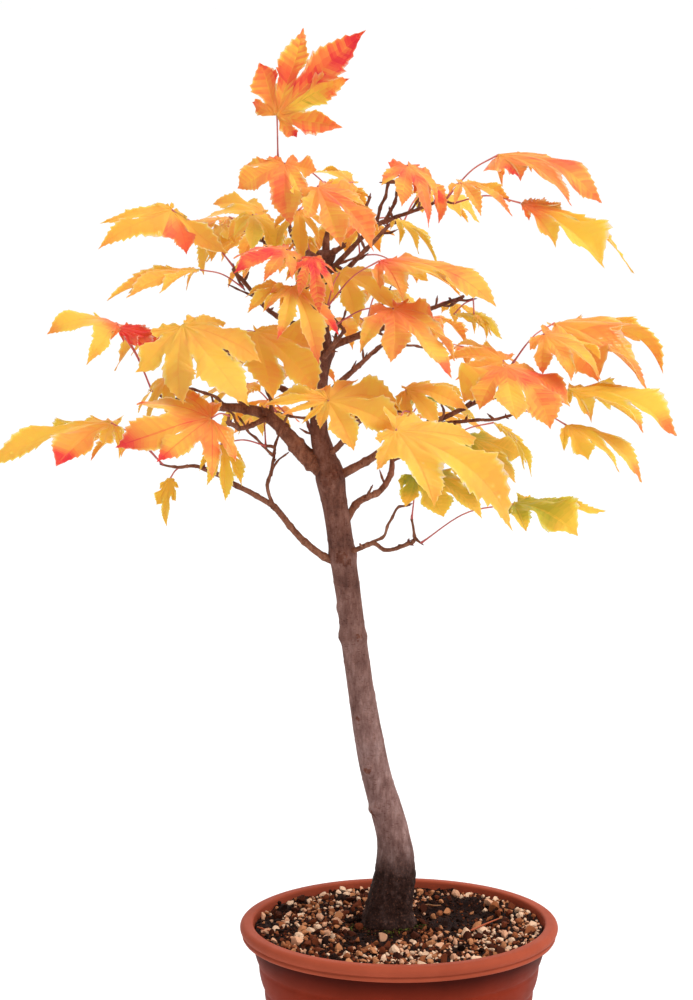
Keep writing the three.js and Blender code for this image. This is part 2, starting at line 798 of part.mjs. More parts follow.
// the blade's edge, from the heel on its right round the lobes to the heel on its left
function bladeRim(leaf, draw) {
  const lobes = LOBES.map(({ angle, reach }) => ({
    angle: angle + 3 * (2 * draw() - 1),
    reach: reach * (1 + 0.08 * (2 * draw() - 1)),
  }));
  const rim = [bladePoint(leaf, -HEEL_ANGLE, HEEL_REACH)];
  lobes.forEach((lobe, i) => {
    const broad = LOBES[i].reach > 0.5;
    if (broad) {
      rim.push(bladePoint(leaf, lobe.angle - SHOULDER_ANGLE, SHOULDER_REACH * lobe.reach));
    }
    rim.push(bladePoint(leaf, lobe.angle, lobe.reach));
    if (broad) {
      rim.push(bladePoint(leaf, lobe.angle + SHOULDER_ANGLE, SHOULDER_REACH * lobe.reach));
    }
    if (i < lobes.length - 1) {
      const next = lobes[i + 1];
      const reach = (lobe.reach + next.reach) / 2;
      rim.push(bladePoint(leaf, (lobe.angle + next.angle) / 2, SINUS_REACH * reach));
    }
  });
  rim.push(bladePoint(leaf, HEEL_ANGLE, HEEL_REACH));
  return rim;
}

// a blade of two shallow fans that share one lobed edge, with a four-sided stalk that runs back to the twig
function leafSolids(leaf, draw) {
  const rim = bladeRim(leaf, draw);
  const top = leaf.joint.clone().addScaledVector(leaf.up, LEAF_THICKNESS / 2);
  const bottom = leaf.joint.clone().addScaledVector(leaf.up, -LEAF_THICKNESS / 2);
  const points = [top, bottom, ...rim];
  const heel = [2, 1 + rim.length];
  const faces = [];
  for (let i = 2; i < heel[1]; i++) {
    faces.push([0, i, i + 1], [1, i + 1, i]);
  }
  const blade = solidOf(geometryOf(points, [...faces, [0, heel[1], heel[0]], [1, heel[0], heel[1]]]));

  const along = leaf.joint.clone().sub(leaf.root);
  const crown = leaf.root.clone().lerp(leaf.joint, 0.5);
  crown.z += STALK_ARCH * along.length();
  along.normalize();
  const sunk = leaf.root.clone().addScaledVector(along, -STALK_SUNK);
  if (along.dot(leaf.ahead) < FOLDED) {
    const stalk = solidOf(limbGeometry(curveOf([sunk, crown, leaf.joint]), () => STALK_RADIUS, 4, 2));
    return { blade, whole: Manifold.union(blade, stalk) };
  }
  const across = leaf.side.clone().addScaledVector(along, -along.dot(leaf.side)).normalize();
  const over = along.clone().cross(across);
  let ring = [0, heel[1], 1, heel[0]];
  for (const middle of [crown, sunk]) {
    const first = points.length;
    for (const [sideways, upwards] of [[0, 1], [1, 0], [0, -1], [-1, 0]]) {
      const point = middle.clone().addScaledVector(across, STALK_RADIUS * sideways);
      points.push(point.addScaledVector(over, STALK_RADIUS * upwards));
    }
    const next = [first, first + 1, first + 2, first + 3];
    for (let j = 0; j < 4; j++) {
      const k = (j + 1) % 4;
      faces.push([ring[j], ring[k], next[k]], [ring[j], next[k], next[j]]);
    }
    ring = next;
  }
  faces.push([ring[0], ring[1], ring[2]], [ring[0], ring[2], ring[3]]);
  return { blade, whole: solidOf(geometryOf(points, faces)) };
}

// a leaf's frame, from a point on a twig: the longest lobe's tip lies along the chord
function leafAt(root, own) {
  const { bearing, rise, stalk, heading, pitch, roll, blade, cup, spread } = { ...LEAF, ...own };
  const joint = root.clone().addScaledVector(direction(bearing, rise), stalk);
  const chord = direction(heading ?? bearing, pitch);
  const over = new THREE.Vector3(0, 0, 1).addScaledVector(chord, -chord.z).normalize();
  const across = chord.clone().cross(over);
  const face = over.multiplyScalar(Math.cos(rad(roll))).addScaledVector(across, Math.sin(rad(roll)));
  const bend = cup / 2;
  const ahead = chord.clone().multiplyScalar(Math.cos(bend)).addScaledVector(face, Math.sin(bend));
  const up = face.multiplyScalar(Math.cos(bend)).addScaledVector(chord, -Math.sin(bend));
  const side = up.clone().cross(ahead);
  return { root, joint, up, ahead, side, blade, cup, spread };
}

function growTwigs(mass) {
  const limb = limbs.get(mass.limb);
  const ahead = limb.curve.getTangentAt(1);
  const start = limb.curve.getPointAt(1).addScaledVector(ahead, GAP);
  const lead = start.clone().addScaledVector(ahead, STEM_LEAD);
  const ends = mass.sprays.map((spray) => vec(spray.at));
  const centre = ends.reduce((sum, p) => sum.add(p), new THREE.Vector3()).divideScalar(ends.length);
  const fork = ends.length > 1 ? lead.clone().lerp(centre, 0.4) : centre;
  const stemRadius = limb.radiusAt(1) * 0.9;
  const stem = curveOf([start, lead, fork]);
  place(mass.name, solidOf(limbGeometry(stem, (u) => lerp(stemRadius, TWIG_RADIUS, u), 5, 3)));
  mass.twigs = [stem];
  if (ends.length > 1) {
    mass.twigs = ends.map((end) => {
      const knee = fork.clone().lerp(end, 0.5);
      knee.z -= 0.06 * fork.distanceTo(end);
      const twig = curveOf([fork.clone().lerp(lead, 0.1), knee, end]);
      place(mass.name, solidOf(limbGeometry(twig, (u) => lerp(TWIG_RADIUS, 0.7, u), 4, 3)));
      return twig;
    });
  }
}

// a leaf that would touch another piece is left off, as is a spare one that would cut a leaf beside it
function growLeaf(mass, root, own, draw, spare) {
  const { blade, whole } = leafSolids(leafAt(root, own), draw);
  const cuts = spare && mass.blades.some((other) => other.minGap(whole, CLEAR) < CLEAR);
  if (!cuts && touching(mass.name, whole).length === 0) {
    place(mass.name, whole);
    mass.blades.push(blade);
  }
}

// the leaves at the twigs' ends
function growSprays(mass) {
  mass.blades = [];
  mass.sprays.forEach((spray, i) => {
    spray.leaves.forEach((own, j) => {
      growLeaf(mass, vec(spray.at), own, seeded(1000 * mass.seed + 10 * i + j), false);
    });
  });
}

// smaller leaves further back along the twigs, heading outwards from the trunk
function growFillers(mass) {
  const draw = seeded(mass.seed);
  for (let k = 0; k < mass.fill * mass.twigs.length; k++) {
    const twig = mass.twigs[k % mass.twigs.length];
    const root = twig.getPointAt(lerp(0.3, 0.8, draw()));
    const outward = THREE.MathUtils.radToDeg(Math.atan2(root.y - 4, root.x + 42));
    const side = k % 2 === 0 ? 1 : -1;
    const own = {
      bearing: outward + side * lerp(30, 80, draw()),
      rise: lerp(5, 50, draw()),
      stalk: lerp(14, 24, draw()),
      pitch: lerp(-45, -15, draw()),
      blade: lerp(30, 42, draw()),
    };
    growLeaf(mass, root, own, seeded(1000 * mass.seed + 500 + k), true);
  }
}

function massSolid(mass) {
  const own = pieces.filter((piece) => piece.node === mass.name).map((piece) => piece.solid);
  return largest(Manifold.union(own).simplify(SLIVER));
}

growTrunk();
BOUGHS.forEach(growBough);
MASSES.forEach(growTwigs);
MASSES.forEach(growSprays);
MASSES.forEach(growFillers);

const bonsai = new THREE.Group();
bonsai.name = "maple_bonsai";
bonsai.add(meshOf("pot", potSolid(), COLORS.pot, 0.55));
bonsai.add(meshOf("soil", soilSolid(), COLORS.soil, 0.95));
for (const [name, limb] of limbs) {
  bonsai.add(meshOf(name, limb.solid, COLORS.bark, 0.85));
}
for (const mass of MASSES) {
  bonsai.add(meshOf(mass.name, massSolid(mass), COLORS[mass.tint], 0.6));
}

export default bonsai;
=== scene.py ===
import math

import bmesh
import bpy
import numpy as np
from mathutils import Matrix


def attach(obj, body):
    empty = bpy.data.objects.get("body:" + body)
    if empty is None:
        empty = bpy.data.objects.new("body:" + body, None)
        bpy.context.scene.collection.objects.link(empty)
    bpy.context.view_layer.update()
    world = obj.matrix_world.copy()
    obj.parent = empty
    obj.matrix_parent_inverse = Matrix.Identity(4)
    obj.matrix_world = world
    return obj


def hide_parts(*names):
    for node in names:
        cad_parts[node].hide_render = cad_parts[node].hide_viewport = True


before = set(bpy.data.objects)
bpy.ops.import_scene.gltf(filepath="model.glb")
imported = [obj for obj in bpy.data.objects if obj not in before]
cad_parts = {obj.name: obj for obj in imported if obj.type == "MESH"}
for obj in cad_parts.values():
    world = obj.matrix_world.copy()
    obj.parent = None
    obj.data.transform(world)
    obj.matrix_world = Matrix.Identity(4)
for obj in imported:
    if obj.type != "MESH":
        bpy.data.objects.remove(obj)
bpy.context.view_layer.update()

MM = 0.001
BODY = "root"

# camera: the photograph's own standpoint
CAMERA_PLACE = (-29.7, -1725.9, 651.2)
CAMERA_DOWN = 8.905  # degrees below level
CAMERA_LENS = 113.4  # for a picture 36 mm high
PICTURE_HEIGHT = 36.0

# light: a sky that is white low down, and higher up dimmer on the left and on the viewer's side
FLOOR_HALF = 900.0  # metres
SKY_STRENGTH = 1.01
SKY_LEFT = 0.3
SKY_FRONT = 0.5
SKY_SIDES = (-0.9, -0.2)  # dimmest and full, as parts of a direction along an axis
SKY_RISE = (0.06, 0.22)  # low down and higher up, as parts of a direction upward
# lamps: name, place, what each is aimed at, width and power
LAMPS = [
    ("key_light", (1000, -900, 2000), (-20, 0, 330), 1300, 17),
    ("back_light", (-300, 1700, 1500), (-20, 0, 380), 1200, 6),
]
SUN_STRENGTH = 0.9
SUN_WIDTH = 40  # degrees
SUN_TILT = (14, 32, 0)  # degrees

# pot
POT_HEIGHT = 140.0
RIM_RADIUS = 90.0
RIM_HEIGHT = 9.4
RIM_BAND = 3.0  # below the groove
RIM_ROLL = 3.2
MOUTH_RADIUS = 82.5
NECK_RADIUS = 82.5
BASE_RADIUS = 58.0
FLOOR = 4.0
WALL = 3.0
RIB_PITCH = 14.6
RIB_COUNT = 8
RIB_BULGE = 1.2
WALL_CURVE = 1.2
WALL_TOP = POT_HEIGHT - RIM_HEIGHT
LIP_ROLL = 1.6  # inner edge of the rim
POT_SIDES = 180

# soil
SOIL_TOP = 135.0
SOIL_EDGE = 137.0
SOIL_LEVEL_RADIUS = 36.0
SOIL_RADIUS = MOUTH_RADIUS - 1.4
HOLLOW = ((31.0, 27.0), (27.0, 25.0))  # middle and half-widths
HOLLOW_DEPTH = 3.0
HEAP_HEIGHT = 1.3
HEAP_PITCH = 29.0
HEAP_CLEAR = 30.0
SOIL_RINGS = 110
SOIL_SIDES = 240
# earth that the grit leaves bare, middle and half-widths: beside the trunk, before its foot, round it, and
# gaps towards the rim
BARE = [
    ((32.0, 29.0), (30.0, 38.0)), ((-11.0, -8.0), (26.0, 25.0)), ((-6.0, 12.0), (25.0, 23.0)),
    ((-78.0, 5.0), (9.0, 11.0)), ((-67.0, 36.0), (9.0, 8.0)), ((-56.0, 56.0), (8.0, 7.0)),
    ((65.0, 32.0), (6.0, 7.0)),
]
GRAIN_SIZES = (0.9, 3.6)  # half-widths of the pumice grains
GRAIN_TRIES = 26000
PALER = 0.1  # how far the grit is paler on the right and behind
CHIP_CUTS = 12  # flat faces on a grain or crumb
CRUMB_SIZES = (0.4, 1.0)  # half-widths of the crumbs of peat and bark between the grains
CRUMB_COUNT = 2600
FOOT_CRUMBS = 420  # earth heaped against the trunk
FOOT_CRUMB_SIZES = (0.6, 1.5)
TUFT_SIZES = (0.5, 1.1)
# moss: middle, spread and number of tufts
MOSS = [((11, 7), 5.0, 70), ((4, -2), 4.0, 40), ((-24, 3), 5.0, 40), ((-8, -6), 8.0, 40)]
# straws: places that each runs through, half its thickness, and which of two colours it has
STRAWS = [
    ([(40, -16, 138.6), (49, -4, 138.9), (57, 8, 138.4)], 0.6, 0),
    ([(12, 42, 134.6), (17, 45, 135.8), (21, 44, 135.6), (25, 47, 134.8)], 0.6, 1),
    ([(-80, -6, 137.6), (-73, -14, 137.8), (-66, -20, 137.0)], 0.5, 0),
]
# grains: colour and share of the whole, pale to dark; the rust, umber and dark grains are partly the grit's
# own dark chips and partly painted shade for the gaps and shaded sides between grains
GRAIN_COLOURS = [
    ("grain_cream", (232, 194, 162), 0.14), ("grain_rose", (216, 162, 128), 0.14),
    ("grain_buff", (190, 127, 86), 0.13), ("grain_tan", (148, 86, 52), 0.15),
    ("grain_rust", (102, 48, 26), 0.16), ("grain_umber", (68, 31, 18), 0.15),
    ("grain_dark", (36, 18, 12), 0.12),
]
CRUMB_COLOURS = [("crumb_peat", (32, 17, 12)), ("crumb_bark", (62, 33, 22)), ("crumb_rust", (98, 50, 29))]
MOSS_COLOURS = [("moss_deep", (46, 46, 18)), ("moss_light", (84, 86, 32))]
STRAW_COLOURS = [("straw_red", (176, 88, 54)), ("straw_tan", (142, 96, 62))]

# trunk: middle and half its thickness, foot to top
TRUNK = [
    (-6, 12, 135.3, 15.5), (-6, 12, 143, 13), (-2, 12, 165, 11.6), (-3.2, 12, 186, 9.4),
    (-13.2, 11, 223, 8.4), (-22.4, 9, 277, 7.3), (-30.4, 6, 339, 7), (-39, 3, 394, 7),
    (-45, 1, 420, 4.6), (-44, 0, 446, 4.2), (-42, 0, 492, 3.1), (-41, 0, 520, 2.8),
]
FOOT = TRUNK[0][:2]
FOOT_RADIUS = TRUNK[0][3]
TRUNK_TIP = 3.0  # half-thickness of the stem that goes on from the trunk
# swellings: height, how far each stands out, and its spread
TRUNK_NODES = [(302, 0.7, 3), (349, 1.0, 4), (394, 1.2, 9), (464, 3.2, 7), (517, 2.6, 5)]
# knots: height, bearing, how far each stands out, and its half-width
KNOTS = [
    (227, 244, 3.0, 3.0), (203, 226, 3.6, 3.2), (257, 239, 0.9, 2.2), (268, 40, 1.4, 3.0),
    (318, 150, 1.5, 3.4), (303, 290, 1.4, 2.6), (303, 185, 1.2, 3.0), (349, 262, 1.6, 5.0),
    (346, 285, 1.4, 3.4), (395, 300, 2.2, 4.2), (392, 250, 1.6, 4.0),
]
TRUNK_SUNK = 2.5  # below the soil's surface
FLARE_TOP = 158  # the roots' flare ends here
ROUGH_TOP = 188  # the foot's coarse bark ends here
KNOBBLY_FROM = 388  # the stem above the main boughs is lumpy
SCAR_GAP = 23  # between the scars that ring the stem
TRUNK_SIDES = 96
TRUNK_STEPS = 460

# bark: three near colours low down and three higher up, and the heights between which it turns from stained
# to clean and from the low colours to the high ones
TRUNK_COLOURS = (
    ((118, 85, 79), (136, 104, 98), (156, 127, 122)), ((84, 49, 39), (108, 67, 53), (132, 90, 76)),
)
KNOT_COLOURS = (
    ((92, 52, 43), (118, 74, 62), (146, 104, 90)), ((66, 36, 28), (94, 54, 42), (124, 80, 64)),
)
BOUGH_COLOURS = (
    ((116, 72, 53), (140, 93, 72), (166, 120, 97)), ((94, 54, 39), (120, 73, 54), (148, 98, 76)),
)
TRUNK_STAIN = (164, 190)
NO_STAIN = (-200, -100)  # below the whole part, so it is clean all over
TRUNK_RUDDY = (230, 400)
BOUGH_RUDDY = (340, 420)

# boughs: name, height on the trunk or share of the bough named last, bends and tip, and half-thickness
# at root and tip
BOUGHS = [
    ("low_left_bough", 343, [(-44, 3, 350), (-53, 1, 357), (-69, -3, 376), (-83, -8, 387), (-108, -13, 400)],
     (2.2, 1.2), None),
    ("low_left_spur", 0.54, [(-73, -7, 389), (-71, -8, 397), (-70, -10, 408)],
     (1.1, 0.8), "low_left_bough"),
    ("low_right_bough", 349, [(-24, 0, 353), (-14, -6, 358), (-8, -12, 355.5), (4, -20, 360)],
     (1.5, 1), None),
    ("left_main_bough", 396, [(-52, 2, 405), (-61, -1, 416), (-73, -6, 428), (-88, -14, 434),
                             (-112, -26, 437)], (5.2, 1.5), None),
    ("front_left_bough", 0.5, [(-86, -36, 425), (-92, -60, 431)], (1.6, 1), "left_main_bough"),
    ("right_main_bough", 392, [(-25, -2, 399), (-14, -8, 406), (-5, -11, 413), (40, -15, 436)],
     (2.6, 1.2), None),
    ("right_fork_bough", 0.7, [(42, -22, 428), (57, -25, 431)], (1.1, 0.7), "right_main_bough"),
    ("right_curved_bough", 362, [(-24, 11, 377), (-11, 23, 382), (-5, 32, 390), (-3, 42, 400)],
     (2.2, 1.4), None),
    ("right_small_bough", 404, [(-35, -6, 411), (-26, -18, 424), (-14, -40, 439)], (1.8, 1.1), None),
    ("left_upper_bough", 436, [(-66, 16, 441), (-84, 22, 455)], (2, 1.1), None),
    ("centre_bough", 458, [(-38, -18, 468), (-32, -34, 477)], (1.7, 1), None),
    ("right_upper_bough", 463, [(-28, -3, 471), (-10, -5, 477), (30, -4, 492)], (2.3, 0.9), None),
    ("left_high_bough", 472, [(-70, -5, 485), (-89, -10, 507)], (1.6, 1), None),
    ("front_high_bough", 482, [(-51, -22, 494), (-55, -40, 503)], (1.5, 1), None),
    ("top_right_bough", 505, [(-16, -2, 530), (18, -8, 546)], (1.6, 0.8), None),
    ("top_spur", 0.6, [(-4, -6, 545), (-2, -9, 553)], (1.1, 0.8), "top_right_bough"),
    ("top_right_low_bough", 499, [(-18, 14, 519), (-6, 26, 530)], (1.6, 1), None),
    ("top_left_bough", 498, [(-56, 9, 515), (-70, 15, 519)], (1.6, 0.9), None),
    ("top_bough", 508, [(-56, -2, 521), (-64, -3, 541)], (1.7, 1), None),
    ("back_low_bough", 383, [(-42, 34, 397), (-50, 62, 412)], (2.2, 1.2), None),
    ("back_mid_bough", 434, [(-26, 30, 450), (-8, 54, 462)], (2, 1.1), None),
    ("back_high_bough", 482, [(-40, 24, 492), (-36, 50, 503)], (1.8, 1.1), None),
]
# bare twigs: the limb that each grows on, a share of its length, the places that it bends through, and
# its half-thickness
BARE_TWIGS = [
    ("low_left_spur", 0.97, [(-74, -12, 411), (-79, -14, 416), (-88, -20, 429)], 0.8),
    ("low_left_spur", 0.95, [(-68, -10, 415), (-62, -12, 430)], 0.75),
    ("low_left_spur", 0.6, [(-69, -6, 402), (-63, -4, 407)], 0.6),
    ("low_right_bough", 0.44, [(-9, -8, 362.5), (-6, -10, 370), (-2, -12, 377), (5, -17, 381)], 0.85),
    ("right_small_bough", 0.55, [(-24, -20, 430), (-21, -20, 441)], 0.8),
    ("right_upper_bough", 0.45, [(-12, -8, 486), (-6, -10, 499)], 0.8),
    ("top_right_bough", 0.5, [(-12, -5, 540), (-7, -8, 556)], 1.0),
    ("top_right_bough", 0.42, [(-19, -4, 541), (-17, -6, 549)], 1.0),
    ("top_right_bough", 0.8, [(8, -9, 545), (14, -12, 553)], 0.7),
    ("left_main_bough", 0.45, [(-72, -8, 437), (-74, -9, 446)], 1.1),
    ("left_main_bough", 0.8, [(-102, -20, 441), (-118, -24, 447), (-124, -25, 452)], 0.9),
    ("left_high_bough", 0.7, [(-84, -6, 496), (-93, -3, 500)], 0.6),
    ("centre_bough", 0.6, [(-33, -26, 480), (-30, -27, 489)], 0.7),
    ("front_left_bough", 0.6, [(-93, -50, 437), (-101, -58, 441)], 0.7),
    ("trunk", 0.985, [(-46, -5, 516), (-51, -9, 519)], 1.9),
    ("trunk", 0.99, [(-36, -6, 519), (-31, -9, 523)], 1.7),
    ("trunk", 0.97, [(-36, -5, 509), (-33, -8, 510)], 1.8),
    ("right_main_bough", 0.72, [(24, -19, 431), (22, -24, 437)], 0.8),
    ("right_main_bough", 0.74, [(29, -20, 426), (31, -26, 422)], 0.7),
    ("right_main_bough", 0.9, [(40, -18, 441), (44, -22, 449)], 0.7),
]
STUBS = 2  # on each bough
TIP_BUDS = 4  # round the end of each bough
BUD_TINT = 1  # a bud's place among a limb's materials
STEM_LEAD = 4.0  # how far a mass's stem runs straight on from its limb
CROWN_MIDDLE = (-42, 4)  # the leaves that fill a twig lead outward from here
TWIG_RADIUS = 0.8
STALK_ARCH = 0.1
STALK_RADIUS = 0.42
STALK_COLOURS = [("stalk_rose", (186, 88, 84)), ("stalk_pink", (206, 112, 100))]

# leaves: angle and reach of each lobe, and its teeth on each side
LOBES = [
    (-118, 0.28, 3), (-74, 0.56, 6), (-36, 0.82, 8), (0, 1.0, 9),
    (36, 0.82, 8), (74, 0.56, 6), (118, 0.28, 3),
]
SINUS_REACH = 0.37
LOBE_WIDTH = 0.14  # half-width of the longest lobe
TOOTH_HEIGHT = 0.05
HEEL_ANGLE = 27.0  # from the last lobe to the blade's heel
LEAF_THICKNESS = 0.3
INNER_ROWS = 6  # rows of faces between the joint and the cuts
TOOTH_ROWS = 3  # rows of faces to a tooth
COLUMNS = (0.0, 0.05, 0.36, 0.68, 1.0)  # across half a lobe, midrib to edge
SMALL_COLUMNS = (0.0, 0.07, 0.5, 1.0)

# autumn colours on a scale of ripeness, from green through gold to crimson
RIPENESS = [
    (-0.40, (132, 146, 46)), (-0.22, (172, 158, 50)), (-0.05, (212, 170, 63)), (0.08, (230, 182, 74)),
    (0.22, (231, 172, 74)), (0.36, (230, 154, 73)), (0.50, (229, 131, 70)), (0.66, (228, 109, 67)),
    (0.80, (224, 84, 66)), (1.00, (212, 54, 62)),
]
TINT_COUNT = 30

# how a leaf is coloured: ripeness at the joint, over the blade and at the tips, what edges and veins add,
# how far it varies, and how much it is blotched
LOOKS = {
    "lemon": (0.12, 0.08, 0.13, 0.00, 0.03, 0.05, 0.00),
    "gold": (0.26, 0.16, 0.26, 0.02, 0.06, 0.06, 0.08),
    "ochre": (0.24, 0.25, 0.32, 0.02, -0.04, 0.08, 0.06),
    "amber": (0.36, 0.29, 0.42, 0.05, 0.05, 0.10, 0.16),
    "sunset": (0.62, 0.26, 0.40, 0.02, 0.10, 0.10, 0.20),
    "dawn": (0.62, 0.09, 0.25, 0.02, 0.08, 0.06, 0.05),
    "peach": (0.44, 0.25, 0.42, 0.07, 0.22, 0.09, 0.18),
    "blush": (0.24, 0.20, 0.62, 0.05, 0.08, 0.08, 0.15),
    "ember": (0.44, 0.30, 0.48, 0.08, -0.06, 0.12, 0.26),
    "flame": (0.53, 0.45, 0.63, 0.10, -0.10, 0.16, 0.36),
    "scorched": (0.60, 0.26, 0.42, 0.08, -0.06, 0.12, 0.28),
    "crimson": (0.86, 0.88, 0.92, 0.04, 0.04, 0.06, 0.08),
    "lime": (-0.32, -0.27, 0.12, 0.06, 0.10, 0.06, 0.10),
    "turning": (-0.34, -0.14, 0.10, 0.06, 0.06, 0.08, 0.06),
}


def leaf(look, bearing=270, rise=25, stalk=24, heading=None, pitch=-28, roll=0, blade=48, cup=1.0,
         spread=1.0, lobes=None, tent=0.12, broad=1.0, hand=None, tips=None):
    """One leaf's stalk (bearing, rise, length) and blade (heading and pitch of its tip, roll, length, bend).

    Lobes adds to the ripeness of single lobes, and tips to that of their ends. A tent hangs down at the
    sides, and a broad leaf is less deeply cut. Hand gives single lobes a turn in degrees and shares of their
    usual length and width.
    """
    heading = bearing if heading is None else heading
    return dict(look=look, bearing=bearing, rise=rise, stalk=stalk, heading=heading, pitch=pitch, roll=roll,
                blade=blade, cup=cup, spread=spread, lobes=lobes or {}, tent=tent, broad=broad,
                hand=hand or {}, tips=tips or {})


